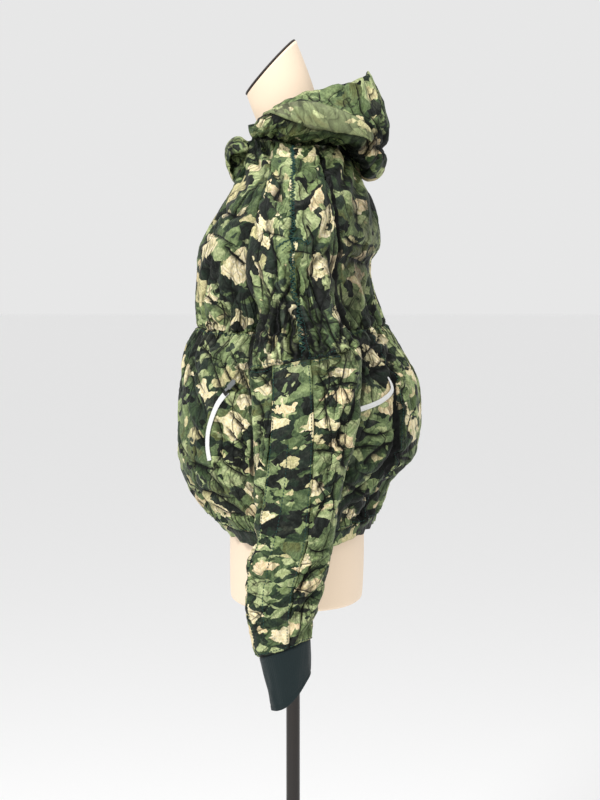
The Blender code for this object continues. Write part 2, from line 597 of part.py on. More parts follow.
def sleeve_pieces(side, mirror):
    # Upper sleeve, cut in a front and a back half that meet at the overarm and the underarm
    # seam. The columns past HEAD_ANGLE start at the underarm, the others at the neck.
    rows = np.array([0, 1, 2, 3, 4, 5, 6, 6.5, 7, 8, 9])
    raglan = list(rows).index(UNDERARM)
    under = [HEAD_ANGLE + (180 - HEAD_ANGLE) * k / 3 for k in range(1, 4)]
    over = [HEAD_ANGLE * k / 7 for k in range(8)]
    for half, sign, edge in (("front", -1, ARMHOLE[0]), ("back", 1, ARMHOLE[1])):
        cols = np.sort(sign * np.array(over + under))
        q, r = grid(cols, rows)
        middle = 0.5 * (cols[:-1] + cols[1:])
        cells = np.ones((len(middle), len(rows) - 1), bool)
        cells[np.abs(middle) > HEAD_ANGLE, :raglan] = False
        outward = normals(sleeve, q, r)
        at_seam = int(np.argmin(np.abs(cols - sign * HEAD_ANGLE)))
        outward[at_seam, :raglan] = normals(body, np.full(raglan, edge), rows[:raglan])
        gaps = np.where(np.abs(q) >= HEAD_ANGLE - 1, 3.0 * SEAM, SEAM / 2)
        wall(f"sleeve_upper_{half}_" + side, sleeve(q, r), outward, camo["sleeve"], cells=cells, gap=gaps, mirror=mirror)

    rows = np.array([9, 10, 11, 12, 13, 14, 15, 16, 17, 18])
    share = np.arange(AROUND_SLEEVE + 1) / AROUND_SLEEVE
    s, r = grid(share, rows)
    q = strip_angle(s, r)
    points, outward = sleeve(q, r), normals(sleeve, q, r)
    cut = STRIP_COLUMNS
    wall("sleeve_strip_" + side, points[: cut + 1], outward[: cut + 1], camo["strip"], mirror=mirror)
    wall("sleeve_lower_" + side, points[cut:], outward[cut:], camo["sleeve"], mirror=mirror)

    def cuff(a, b):
        points = sleeve_ring(CUFF_ROWS, a, b)
        points[..., 2] += np.interp(b, np.arange(4), CUFF_BOW) * np.sin(np.radians(a)) ** 2
        return points

    q, r = grid(np.arange(0, 360, 18), np.arange(4))
    wall("cuff_" + side, cuff(q, r), normals(cuff, q, r), knit, thick=KNIT, closed=True, mirror=mirror)


def hood_pieces():
    angles = np.array([-72, -59, -46, -32, -18, -4, 10, 24, 37, 48, 58, 66, 74, 82, 90])
    for side, mirror in (("L", False), ("R", True)):
        a, s = grid(angles, np.array([0.06, 1, 2, 3, 4, 5, 6, 7]))
        wall("hood_" + side, hood(a, s), normals(hood, a, s, -1.0), camo["hood"], mirror=mirror)
        a, w = grid(np.array([-26, -18, -10, -2, 6, 14, 22, 30, 38, 45, 52]), np.array([0.0, 0.26, 0.50, 0.75, 1.0]))
        wall("hood_hem_" + side, brim(a, w), normals(brim, a, w), camo["brim"], mirror=mirror)
        s, w = grid(np.linspace(0, 6, 10), np.array([0, 0.4, 0.75, 1.0]))
        face_out = normals(lapel, s, w, 1.0)
        centre = np.array([0.0, -0.079, 1.372])
        if np.mean(np.sum(face_out[:, 0] * (lapel(s, w)[:, 0] - centre) * [0, 1, 1], -1)) < 0:
            face_out = -face_out
        wall("collar_corner_" + side, lapel(s, w)[::-1], face_out[::-1], camo["collar"], mirror=mirror)


def frame_on(surface, path, where):
    """Point, direction along the path and outward normal at a share of a path on a surface."""
    u, v = np.moveaxis(along(path, where * (len(path) - 1)), -1, 0)
    here = surface(u, v)
    d = 0.01 if where < 0.99 else -0.01
    u2, v2 = np.moveaxis(along(path, (where + d) * (len(path) - 1)), -1, 0)
    ahead = (surface(u2, v2) - here) * np.sign(d)
    ahead = ahead / np.linalg.norm(ahead)
    out = normals(surface, u, v)
    ahead = ahead - out * np.dot(ahead, out)
    ahead = ahead / np.linalg.norm(ahead)
    return here, ahead, out


def zip_tape(name, path, width, mirror=False, taper=False, steps=8, lift=LIFT):
    """A flat tape lying on the body along a path, a wall of its own lifted off the panel."""
    shares = np.linspace(0, 1, steps + 1)
    points, outward = [], []
    for share in shares:
        here, ahead, out = frame_on(body, path, share)
        aside = np.cross(out, ahead)
        half = width / 2
        if taper:
            half *= 1 - 0.72 * np.clip((share - 0.72) / 0.28, 0, 1) ** 1.2
        line = []
        for k in (-1, 0, 1):
            line.append(here + aside * half * k + out * (lift + ZIP_THICK))
        points.append(line)
        outward.append([out] * 3)
    points, outward = np.array(points), np.array(outward)
    wall(name, points, outward, zip_white, thick=ZIP_THICK, gap=0.0, mirror=mirror)


def box_into(bm, low, high):
    made = bmesh.ops.create_cube(bm, size=1.0)["verts"]
    low, high = Vector(low), Vector(high)
    for vert in made:
        vert.co = Vector(low[k] + (vert.co[k] + 0.5) * (high[k] - low[k]) for k in range(3))


def mesh_object(name, bm, mat):
    mesh = bpy.data.meshes.new(name)
    bm.to_mesh(mesh)
    bm.free()
    return put(name, mesh, mat, 30)


def rod_into(bm, radius, length, centre, segments=12):
    bmesh.ops.create_cone(
        bm, cap_ends=True, segments=segments, radius1=radius, radius2=radius, depth=length,
        matrix=Matrix.Translation(centre) @ Matrix.Rotation(math.radians(90), 4, "X"),
    )


PIN = Vector((0.0032, 0.0, 0.0047))     # hinge pin of a pull tab, from the slider's middle


def union(obj, others, operation="UNION"):
    for k, other in enumerate(others):
        cut = obj.modifiers.new(f"{operation.lower()}_{k}", "BOOLEAN")
        cut.operation, cut.object = operation, other


def cutter(name, bm):
    mesh = bpy.data.meshes.new(name)
    bm.to_mesh(mesh)
    bm.free()
    obj = bpy.data.objects.new(name, mesh)
    obj.hide_render = True
    obj.display_type = "WIRE"
    CUTTERS.objects.link(obj)
    return obj


def slider_shapes():
    """Meshes shared by every zip: the slider with its two lugs and pin, and the pull tab."""
    bm = bmesh.new()
    box_into(bm, (-0.0045, -0.0036, 0.0), (0.0045, 0.0036, 0.0026))
    bmesh.ops.bevel(bm, geom=bm.edges[:], offset=0.0006, segments=1, affect="EDGES")
    block = mesh_object("slider_shape", bm, zip_black)
    helpers = []
    for sign in (-1, 1):
        bm = bmesh.new()
        low, high = sorted((sign * 0.0022, sign * 0.0033))
        box_into(bm, (PIN.x - 0.0012, low, 0.0020), (PIN.x + 0.0012, high, PIN.z + 0.0012))
        helpers.append(cutter(f"lug_{sign}", bm))
    bm = bmesh.new()
    rod_into(bm, 0.0006, 0.0052, PIN)
    helpers.append(cutter("pin", bm))
    union(block, helpers)

    bm = bmesh.new()
    box_into(bm, (0.0030, -TAB_WIDTH / 2, -0.0006), (0.0030 + TAB_LENGTH, TAB_WIDTH / 2, 0.0006))
    upright = [e for e in bm.edges if abs(e.verts[0].co.z - e.verts[1].co.z) > 0.001]
    bmesh.ops.bevel(bm, geom=upright, offset=0.0018, segments=3, affect="EDGES")
    tab = mesh_object("tab_shape", bm, tab_grey)
    bm = bmesh.new()
    box_into(bm, (0.0, -0.0018, -0.00058), (0.0045, 0.0018, 0.00058))
    neck = cutter("tab_neck", bm)
    bm = bmesh.new()
    rod_into(bm, 0.0016, 0.0035, Vector((0, 0, 0)))
    eye = cutter("tab_eye", bm)
    bm = bmesh.new()
    rod_into(bm, 0.00105, 0.0060, Vector((0, 0, 0)))
    hole = cutter("tab_hole", bm)
    union(tab, [neck, eye])
    union(tab, [hole], "DIFFERENCE")

    bpy.context.view_layer.update()
    graph = bpy.context.evaluated_depsgraph_get()
    meshes = []
    for obj in (block, tab):
        mesh = bpy.data.meshes.new_from_object(obj.evaluated_get(graph))
        meshes.append(mesh)
    for obj in (block, tab, *helpers, neck, eye, hole):
        bpy.data.objects.remove(obj, do_unlink=True)
    return meshes


def zip_pull(prefix, suffix, path, where, direction, shapes, mirror=False, lift=LIFT):
    """Slider and pull tab at a share of a zip's path. The tab points along direction * path."""
    here, ahead, out = frame_on(body, path, where)
    ahead = ahead * direction
    base = here + out * (lift + ZIP_THICK + SEAM)
    if mirror:
        flip = np.array([-1.0, 1.0, 1.0])
        base, ahead, out = base * flip, ahead * flip, out * flip
    aside = np.cross(out, ahead)
    place = Matrix((
        (ahead[0], aside[0], out[0], base[0]),
        (ahead[1], aside[1], out[1], base[1]),
        (ahead[2], aside[2], out[2], base[2]),
        (0, 0, 0, 1),
    ))
    slider = bpy.data.objects.new(prefix + "_slider" + suffix, shapes[0])
    slider.matrix_world = place
    tab = bpy.data.objects.new(prefix + "_pull" + suffix, shapes[1])
    tab.matrix_world = place @ Matrix.Translation(PIN)
    for obj in (slider, tab):
        JACKET.objects.link(obj)


def zips():
    shapes = slider_shapes()
    for side, mirror in (("_L", False), ("_R", True)):
        zip_tape("pocket_zip" + side, POCKET_ZIP, ZIP_WIDTH, mirror)
        zip_pull("pocket", side, POCKET_ZIP, 0.035, -1, shapes, mirror)
        zip_tape("rear_zip" + side, REAR_ZIP, ZIP_WIDTH * 0.93, mirror, taper=True)
        zip_pull("rear", side, REAR_ZIP, 0.06, -1, shapes, mirror)


dress_form()
body_pieces()
for SIDE, MIRRORED in (("L", False), ("R", True)):
    sleeve_pieces(SIDE, MIRRORED)
hood_pieces()
zips()
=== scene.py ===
"""Looks of the hooded pullover jacket and of the dress form that wears it.

Metres, +Z up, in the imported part's own frame: the front faces -Y, the wearer's left is +X.
Each cloth piece is a fine shell over the form that its solid has. The surfaces repeat the
tables of the part. Creases come from short tables in their own sizes, gathers from extra
cloth along the seams, and a small settling step, written here with numpy, bends each panel
so that its cloth keeps its own length inside a few millimetres of its form.
"""

import json
import math

import bmesh
import bpy
import numpy as np
from mathutils import Matrix, Vector
from mathutils.kdtree import KDTree

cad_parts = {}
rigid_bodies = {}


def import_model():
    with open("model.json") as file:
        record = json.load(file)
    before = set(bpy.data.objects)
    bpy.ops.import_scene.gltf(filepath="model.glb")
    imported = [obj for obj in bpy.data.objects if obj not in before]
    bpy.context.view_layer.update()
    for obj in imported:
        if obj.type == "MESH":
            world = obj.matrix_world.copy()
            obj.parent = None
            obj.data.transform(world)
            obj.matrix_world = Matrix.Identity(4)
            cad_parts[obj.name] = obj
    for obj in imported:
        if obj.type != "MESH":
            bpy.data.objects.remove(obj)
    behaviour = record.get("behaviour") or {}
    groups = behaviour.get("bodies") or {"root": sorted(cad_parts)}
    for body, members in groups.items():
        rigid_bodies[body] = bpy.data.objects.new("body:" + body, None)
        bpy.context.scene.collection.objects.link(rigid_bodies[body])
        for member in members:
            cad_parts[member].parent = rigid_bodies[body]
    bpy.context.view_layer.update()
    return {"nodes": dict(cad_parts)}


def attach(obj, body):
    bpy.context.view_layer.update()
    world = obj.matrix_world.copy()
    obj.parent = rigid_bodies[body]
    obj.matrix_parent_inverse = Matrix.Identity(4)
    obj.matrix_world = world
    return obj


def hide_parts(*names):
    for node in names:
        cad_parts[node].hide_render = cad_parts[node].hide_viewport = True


for obj in list(bpy.data.objects):
    bpy.data.objects.remove(obj, do_unlink=True)

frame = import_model()
ROOT = "jacket_on_form"

SPACING = 0.0027        # distance between the points of a finished cloth shell
COARSE = 4              # the settling starts on every fourth point
SHELL = 0.0009          # wall of the cloth shells
EDGE = 0.00008          # how far each shell stays off its neighbour at a seam

# ------------------------------------------------------------------ tables of the part
STRIP_COLUMNS, AROUND_SLEEVE = 4, 20
ZIP_WIDTH, ZIP_THICK, LIFT = 0.0082, 0.0010, 0.0005

# Body, from the neck seam down to the hem. One row for each ring.
# z_front, z_side, z_back: height of the ring there; y_front, y_back: its reach;
# half_x: half width; power: 2 is an ellipse, more is squarer.
BODY_ROWS = [
    # z_front z_side z_back  y_front  y_side y_back  half_x power
    (1.4020, 1.3850, 1.3920, -0.0600, 0.000, 0.0640, 0.0780, 2.0),   # 0 neck seam
    (1.3720, 1.3710, 1.3700, -0.0700, 0.000, 0.0860, 0.1150, 2.0),   # 1
    (1.3350, 1.3520, 1.3380, -0.0830, 0.000, 0.1010, 0.1560, 1.95),  # 2 top of the shoulder
    (1.3000, 1.3200, 1.3080, -0.1040, 0.000, 0.1175, 0.1860, 2.0),   # 3
    (1.2620, 1.2780, 1.2720, -0.1260, 0.000, 0.1260, 0.1960, 2.1),   # 4
    (1.2300, 1.2370, 1.2400, -0.1385, 0.000, 0.1255, 0.1980, 2.2),   # 5 chest
    (1.2000, 1.2050, 1.2160, -0.1400, 0.000, 0.1135, 0.1940, 2.2),   # 6 underarm, back notch
    (1.1640, 1.1640, 1.1720, -0.1400, 0.000, 0.1185, 0.1890, 2.2),   # 7
    (1.1270, 1.1270, 1.1330, -0.1380, 0.000, 0.1340, 0.1870, 2.2),   # 8 gathered waist
    (1.0970, 1.0960, 1.0990, -0.1540, 0.000, 0.1545, 0.1990, 2.2),   # 9
    (1.0550, 1.0550, 1.0560, -0.1645, 0.000, 0.1805, 0.2110, 2.2),   # 10
    (0.9980, 0.9980, 0.9980, -0.1670, 0.000, 0.1865, 0.2180, 2.25),  # 11
    (0.9430, 0.9430, 0.9440, -0.1670, 0.000, 0.1770, 0.2180, 2.25),  # 12
    (0.9080, 0.9060, 0.9100, -0.1580, 0.000, 0.1475, 0.2130, 2.2),   # 13
    (0.8790, 0.8740, 0.8840, -0.1390, 0.000, 0.1340, 0.2030, 2.2),   # 14
    (0.8600, 0.8480, 0.8660, -0.1190, 0.000, 0.1250, 0.1910, 2.2),   # 15 top of the hem
    (0.8450, 0.8270, 0.8490, -0.1040, 0.000, 0.1180, 0.1820, 2.2),   # 16 hem edge
]
NECK, SHOULDER, UNDERARM, WAIST, HEM_TOP, HEM = 0, 2, 6, 8, 15, 16
ARMHOLE = (-24.0, 27.0)     # columns of the raglan seams on the left side, in degrees
BACK_SEAM = 54.0            # seam between the side and back panels below the waist

# Sleeve below the underarm, down to the cuff seam. tilt lowers the front and raises the back.
SLEEVE_ROWS = [
    # z      tilt    y_front  y_back  x_in    x_out   power
    (1.2050, 0.000, -0.0420, 0.0560, 0.1950, 0.2530, 2.2),   # 6 underarm
    (1.1620, 0.000, -0.0370, 0.0560, 0.2050, 0.2670, 2.2),   # 7
    (1.1260, 0.006, -0.0500, 0.0730, 0.2150, 0.2820, 2.2),   # 8
    (1.0940, 0.015, -0.0550, 0.0885, 0.2220, 0.2940, 2.2),   # 9 elbow seam
    (1.0500, 0.008, -0.0530, 0.0900, 0.2280, 0.3020, 2.3),   # 10
    (1.0000, 0.000, -0.0520, 0.0860, 0.2310, 0.3060, 2.3),   # 11
    (0.9500, 0.000, -0.0520, 0.0720, 0.2310, 0.3060, 2.3),   # 12
    (0.9000, 0.000, -0.0500, 0.0610, 0.2305, 0.3045, 2.3),   # 13
    (0.8560, 0.000, -0.0485, 0.0570, 0.2295, 0.3020, 2.3),   # 14
    (0.8200, 0.000, -0.0595, 0.0500, 0.2280, 0.3010, 2.2),   # 15
    (0.7800, 0.002, -0.0625, 0.0400, 0.2290, 0.2990, 2.1),   # 16
    (0.7450, 0.006, -0.0580, 0.0310, 0.2320, 0.2950, 2.1),   # 17
    (0.7090, 0.0125, -0.0475, 0.0235, 0.2370, 0.2885, 2.0),  # 18 cuff seam
]
# Largest folds of the body: troughs that run down the cloth, deeper for positive depth.
BODY_FOLDS = [
    # angle lean first last width depth
    (-150, 3, 6.4, 9.6, 9, 0.0050),
    (-118, -2, 6.8, 9.4, 8, 0.0040),
    (-96, 1, 6.2, 9.8, 7, -0.0030),
    (-70, 2, 6.6, 9.5, 9, 0.0045),
    (-44, -3, 6.3, 9.3, 8, 0.0050),
    (-12, 0, 6.6, 9.6, 9, 0.0040),
    (40, 2, 6.4, 9.3, 8, 0.0045),
    (66, -2, 6.2, 9.8, 8, 0.0055),
    (92, 0, 6.6, 9.6, 8, -0.0040),
    (118, 3, 6.3, 9.7, 9, 0.0050),
    (150, -2, 6.6, 9.4, 9, 0.0045),
    (-60, 5, 12.4, 15.0, 9, 0.0045),
    (-125, -4, 12.6, 15.0, 10, 0.0040),
    (62, -4, 12.2, 15.0, 9, 0.0050),
    (112, 3, 12.5, 15.0, 9, 0.0045),
]
ELBOW, CUFF_SEAM = 9, 18
CUFF_ROWS = [
    # z      tilt    y_front  y_back  x_in    x_out   power
    (0.7085, 0.0125, -0.0445, 0.0240, 0.2395, 0.2865, 2.0),  # 0
    (0.6860, 0.0150, -0.0385, 0.0246, 0.2420, 0.2845, 2.0),  # 1
    (0.6620, 0.0195, -0.0325, 0.0246, 0.2445, 0.2820, 2.0),  # 2
    (0.6365, 0.0245, -0.0275, 0.0246, 0.2470, 0.2800, 2.0),  # 3 slanted end
]
CUFF_BOW = (0.0, 0.002, 0.007, 0.0125)   # how far each ring rises at its front and back
# The strip down the outside of the lower sleeve: its two edges, in degrees round the sleeve.
STRIP_ROWS = [
    # row  front_edge back_edge
    (9.0, -35.0, 4.0),
    (11.0, -38.0, 7.0),
    (12.5, -45.0, 15.0),
    (14.0, -70.0, 14.0),
    (18.0, -78.0, 12.0),
]
# How far the sleeve head stands off the body ring, for rows 0 to 6 of the body.
SLEEVE_HEAD = (0.0, 0.0, 0.003, 0.018, 0.036, 0.050, 0.059)

# Hood lying back: a section of the bag at each angle round the neck, seam to rim.
# -90 is the front, 0 the left side and 90 the back; each point is radius, height.
HOOD_SECTIONS = [
    (-72, ((0.0630, 1.4030), (0.0636, 1.4045), (0.0641, 1.4060), (0.0645, 1.4075), (0.0648, 1.4090), (0.0648, 1.4105), (0.0645, 1.4122), (0.0640, 1.4140))),
    (-45, ((0.0730, 1.3960), (0.0755, 1.3975), (0.0780, 1.3995), (0.0800, 1.4020), (0.0812, 1.4055), (0.0812, 1.4090), (0.0805, 1.4120), (0.0790, 1.4150))),
    (-15, ((0.0790, 1.3880), (0.0860, 1.3910), (0.0930, 1.3960), (0.1010, 1.4030), (0.1060, 1.4150), (0.1040, 1.4260), (0.0985, 1.4315), (0.0935, 1.4370))),
    (15, ((0.0800, 1.3870), (0.0930, 1.3900), (0.1060, 1.3950), (0.1200, 1.4030), (0.1270, 1.4240), (0.1200, 1.4410), (0.1110, 1.4490), (0.1020, 1.4585))),
    (45, ((0.0780, 1.3880), (0.0980, 1.3840), (0.1180, 1.3850), (0.1360, 1.3950), (0.1440, 1.4140), (0.1370, 1.4310), (0.1250, 1.4490), (0.1130, 1.4700))),
    (70, ((0.0730, 1.3940), (0.0950, 1.3770), (0.1120, 1.3540), (0.1310, 1.3630), (0.1390, 1.4000), (0.1370, 1.4240), (0.1280, 1.4530), (0.1130, 1.4840))),
    (90, ((0.0700, 1.3970), (0.0920, 1.3725), (0.1080, 1.3380), (0.1265, 1.3450), (0.1315, 1.3960), (0.1310, 1.4300), (0.1240, 1.4620), (0.1070, 1.4930))),
]
HOOD_RIM = 7.0
# Rolled hem band round the hood: the stretch of the section that it covers and how far its
# middle stands off, at each angle round the neck. It tapers out at the front.
BRIM_ROWS = [
    # angle top   bottom stand
    (-26, 6.80, 6.10, 0.0006),
    (-14, 6.30, 4.85, 0.0022),
    (0, 5.65, 3.65, 0.0036),
    (15, 4.95, 3.10, 0.0042),
    (30, 4.50, 3.00, 0.0042),
    (42, 4.10, 3.00, 0.0034),
    (52, 3.55, 3.10, 0.0020),
]
# Fallen front corner of the collar, one on each side of the opening: a roll about X.
LAPEL_ROWS = [
    # y       z       x_end   y_end    z_end    (the middle edge is at x = 7 mm)
    (-0.0860, 1.3370, 0.0360, -0.0850, 1.3370),
    (-0.0925, 1.3540, 0.0400, -0.0890, 1.3530),
    (-0.0965, 1.3740, 0.0500, -0.0905, 1.3660),
    (-0.0925, 1.3900, 0.0580, -0.0860, 1.3715),
    (-0.0820, 1.3985, 0.0610, -0.0770, 1.3725),
    (-0.0715, 1.3975, 0.0600, -0.0680, 1.3745),
    (-0.0655, 1.3900, 0.0540, -0.0640, 1.3790),
]

# Dress form, bottom to top.
FORM_ROWS = [
    # z_front z_side z_back  y_front  y_side  y_back  half_x power
    (0.7350, 0.7350, 0.7350, -0.0820, 0.005, 0.0920, 0.1400, 2.3),
    (0.7380, 0.7380, 0.7380, -0.0880, 0.005, 0.0980, 0.1490, 2.3),
    (0.7480, 0.7480, 0.7480, -0.0910, 0.005, 0.1010, 0.1540, 2.3),
    (0.8100, 0.8100, 0.8100, -0.0915, 0.005, 0.1030, 0.1620, 2.3),
    (0.8700, 0.8700, 0.8700, -0.0910, 0.005, 0.1010, 0.1610, 2.3),
    (0.9600, 0.9600, 0.9600, -0.0880, 0.003, 0.0920, 0.1430, 2.2),
    (1.0500, 1.0500, 1.0500, -0.0860, 0.000, 0.0780, 0.1220, 2.1),
    (1.1300, 1.1300, 1.1300, -0.0930, 0.000, 0.0800, 0.1290, 2.1),
    (1.2100, 1.2100, 1.2100, -0.1120, 0.000, 0.0880, 0.1460, 2.1),
    (1.2600, 1.2650, 1.2700, -0.1050, 0.000, 0.0940, 0.1540, 2.1),
    (1.3000, 1.3140, 1.3120, -0.0860, 0.000, 0.0920, 0.1510, 2.0),
    (1.3360, 1.3400, 1.3400, -0.0700, 0.000, 0.0800, 0.1240, 2.0),
    (1.3650, 1.3620, 1.3680, -0.0560, 0.000, 0.0640, 0.0840, 2.0),
    (1.3900, 1.3880, 1.4000, -0.0490, 0.000, 0.0530, 0.0600, 2.0),
    (1.4200, 1.4230, 1.4380, -0.0520, -0.005, 0.0400, 0.0530, 2.0),
    (1.4410, 1.4640, 1.4870, -0.0595, -0.017, 0.0240, 0.0510, 2.0),
    (1.4590, 1.4980, 1.5370, -0.0660, -0.031, 0.0045, 0.0500, 2.0),
]

# Middle lines of the zips on the body, as angle round the body and body row.
POCKET_ZIP = [(-29.5, 10.17), (-35.5, 10.52), (-40.2, 11.03), (-41.2, 11.46), (-39.8, 11.85)]
REAR_ZIP = [(20.0, 10.66), (28.0, 10.58), (38.8, 10.42), (46.0, 10.19), (45.2, 9.85)]


# ------------------------------------------------------------------ shapes from tables
def along(table, t):
    """Every column of a table at row position t, by a smooth curve through its rows."""
    rows = np.array(table, float)
    t = np.clip(np.asarray(t, float), 0, len(rows) - 1)
    i = np.minimum(t.astype(int), len(rows) - 2)
    f = (t - i)[..., None]
    a, b = rows[i], rows[i + 1]
    slope_a = 0.5 * (b - rows[np.maximum(i - 1, 0)])
    slope_b = 0.5 * (rows[np.minimum(i + 2, len(rows) - 1)] - a)
    return (
        (2 * f**3 - 3 * f**2 + 1) * a
        + (f**3 - 2 * f**2 + f) * slope_a
        + (-2 * f**3 + 3 * f**2) * b
        + (f**3 - f**2) * slope_b
    )


def keyed(table, key):
    """Columns after the first of a table, at a value of its first column."""
    keys = np.array([row[0] for row in table], float)
    place = np.interp(key, keys, np.arange(len(keys)))
    return along([row[1:] for row in table], place)


def ring(table, u, v):
    """Point at angle u (degrees, 0 is +X, 90 is +Y) of the ring at row v of a ring table."""
    u, v = np.broadcast_arrays(np.asarray(u, float), np.asarray(v, float))
    z_front, z_side, z_back, y_front, y_side, y_back, half_x, power = np.moveaxis(along(table, v), -1, 0)
    c, s = np.cos(np.radians(u)), np.sin(np.radians(u))
    side = np.sign(c) * np.abs(c) ** (2 / power)
    ahead = np.sign(s) * np.abs(s) ** (2 / power)
    y = y_side + np.where(s < 0, (y_side - y_front) * ahead, (y_back - y_side) * ahead)
    z = z_side + 0.5 * (z_back - z_front) * s + (0.5 * (z_front + z_back) - z_side) * s**2
    return np.stack([half_x * side, y, z], -1)


def folds(table, u, v):
    """Depth of the largest folds at angle u and row v: each is a soft trough along the rows."""
    depth = np.zeros(np.broadcast(u, v).shape)
    for centre, lean, first, last, width, deep in table:
        middle = 0.5 * (first + last)
        across = (u - centre - lean * (v - middle) + 180.0) % 360.0 - 180.0
        share = np.clip((v - first) / (last - first), 0, 1)
        depth = depth + deep * np.exp(-((across / width) ** 2)) * np.sin(np.pi * share) ** 2
    return depth


def body(u, v):
    u, v = np.broadcast_arrays(np.asarray(u, float), np.asarray(v, float))
    points = ring(BODY_ROWS, u, v)
    depth = folds(BODY_FOLDS, u, v)
    return points - depth[..., None] * np.stack([np.cos(np.radians(u)), np.sin(np.radians(u)), 0 * u], -1)


def sleeve_ring(table, q, row):
    z, tilt, y_front, y_back, x_in, x_out, power = np.moveaxis(along(table, row), -1, 0)
    c, s = np.cos(np.radians(q)), np.sin(np.radians(q))
    x = 0.5 * (x_in + x_out) + 0.5 * (x_out - x_in) * np.sign(c) * np.abs(c) ** (2 / power)
    y = 0.5 * (y_front + y_back) + 0.5 * (y_back - y_front) * np.sign(s) * np.abs(s) ** (2 / power)
    return np.stack([x, y, z + tilt * s], -1)


HEAD_ANGLE = 110.0      # the sleeve's columns from -110 to 110 degrees run up to the neck


def sleeve_head(q, row):
    """Raglan part of the sleeve, rows 0 to 6, over the shoulder from seam to seam."""
    a = np.clip(q / HEAD_ANGLE, -1, 1)
    u = np.where(a < 0, -a * ARMHOLE[0], a * ARMHOLE[1])
    stand = np.interp(row, np.arange(len(SLEEVE_HEAD)), SLEEVE_HEAD)
    low = np.clip((row - 2) / 4, 0, 1)
    soft = (1 - a**2) ** 1.5
    tube = np.sqrt(np.clip(1 - np.abs(a) ** 2.6, 0, 1))
    points = body(u, row)
    points[..., 0] += stand * ((1 - low) * soft + low * tube)
    return points


def sleeve(q, row):
    """Left sleeve: q in degrees round it (0 outward, 90 back), row 0 at the neck to 18."""
    q, row = np.broadcast_arrays(np.asarray(q, float), np.asarray(row, float))
    q = (q + 180.0) % 360.0 - 180.0
    head = sleeve_head(q, np.clip(row, 0, UNDERARM))
    a = np.clip((np.abs(q) - HEAD_ANGLE) / (180.0 - HEAD_ANGLE), 0, 1)
    edge = np.where(q < 0, ARMHOLE[0], ARMHOLE[1])
    under = body(edge * (1 - a), np.full(q.shape, float(UNDERARM)))
    under[..., 0] += 0.0022 * np.sin(np.pi * np.clip(a * 1.0, 0, 0.5))
    loop = np.where((np.abs(q) <= HEAD_ANGLE)[..., None], head, under)
    tube = sleeve_ring(SLEEVE_ROWS, q, np.clip(row - UNDERARM, 0, None))
    mix = np.clip((row - UNDERARM) / 1.6, 0, 1)
    mix = (mix**2 * (3 - 2 * mix))[..., None]
    drop = np.where(row > UNDERARM, along(SLEEVE_ROWS, np.clip(row - UNDERARM, 0, None))[..., 0] - SLEEVE_ROWS[0][0], 0.0)
    lowered = loop.copy()
    lowered[..., 2] += drop
    return lowered * (1 - mix) + tube * mix


def strip_angle(share, row):
    """Angle round the sleeve of a column: 0 to 1 goes once round, starting at the strip."""
    low, high = np.moveaxis(keyed(STRIP_ROWS, row), -1, 0)
    across = STRIP_COLUMNS / AROUND_SLEEVE
    return np.where(
        share <= across,
        low + (high - low) * share / across,
        high + (360 - high + low) * (share - across) / (1 - across),
    )


def hood(angle, s):
    """Outside of the hood at an angle round the neck and s from 0, the seam, to 7, the rim."""
    angle, s = np.broadcast_arrays(np.asarray(angle, float), np.asarray(s, float))
    folded = np.where(angle > 90, 180 - angle, angle)
    keys = [row[0] for row in HOOD_SECTIONS]
    place = np.interp(folded, keys, np.arange(len(keys)))
    sections = np.array([row[1] for row in HOOD_SECTIONS])
    count, points, _ = sections.shape
    radial = along(sections.reshape(count, -1), place).reshape(angle.shape + (points, 2))
    i = np.minimum(s.astype(int), points - 2)
    f = (s - i)[..., None]
    pick = lambda k: np.take_along_axis(radial, np.clip(k, 0, points - 1)[..., None, None], -2)[..., 0, :]
    a, b = pick(i), pick(i + 1)
    slope_a, slope_b = 0.5 * (b - pick(i - 1)), 0.5 * (pick(i + 2) - a)
    rz = (2 * f**3 - 3 * f**2 + 1) * a + (f**3 - 2 * f**2 + f) * slope_a + (-2 * f**3 + 3 * f**2) * b + (f**3 - f**2) * slope_b
    rad = np.radians(angle)
    return np.stack([rz[..., 0] * np.cos(rad), rz[..., 0] * np.sin(rad), rz[..., 1]], -1)


def brim(angle, w):
    """Rolled hem band of the hood: w from 0 at its top edge to 1 at its lower, free edge."""
    angle, w = np.broadcast_arrays(np.asarray(angle, float), np.asarray(w, float))
    top, bottom, stand = np.moveaxis(keyed(BRIM_ROWS, angle), -1, 0)
    s = top + (bottom - top) * w
    out = normals(hood, angle, s, -1.0)
    return hood(angle, s) + out * (0.0028 + stand * np.sin(np.pi * np.clip(w, 0, 1)))[..., None]


def lapel(s, w):
    """Left fallen collar corner: s along the roll from the chest, w from the middle outward."""
    s, w = np.broadcast_arrays(np.asarray(s, float), np.asarray(w, float))
    y, z, x_end, y_end, z_end = np.moveaxis(along(LAPEL_ROWS, s), -1, 0)
    start = np.stack([np.full(y.shape, 0.0070), y, z], -1)
    bend = np.stack([x_end + 0.003, y, z + 0.001], -1)
    end = np.stack([x_end, y_end, z_end], -1)
    w = w[..., None]
    return (1 - w) ** 2 * start + 2 * w * (1 - w) * bend + w**2 * end


def normals(surface, a, b, sign=1.0):
    """Unit normals of a surface function, outward for sign 1 where b runs down the cloth."""
    step_a, step_b = 0.4, 0.02
    along_a = surface(a + step_a, b) - surface(a - step_a, b)
    along_b = surface(a, b + step_b) - surface(a, b - step_b)
    n = np.cross(along_b, along_a) * sign
    return n / np.maximum(np.linalg.norm(n, axis=-1, keepdims=True), 1e-12)




# ------------------------------------------------------------------ noise
def gradients(seed):
    rng = np.random.default_rng(seed)
    g = rng.normal(size=(256, 3))
    return (g / np.linalg.norm(g, axis=1, keepdims=True)).astype(np.float32), rng.permutation(256)


GRADIENTS, SHUFFLE = gradients(11)


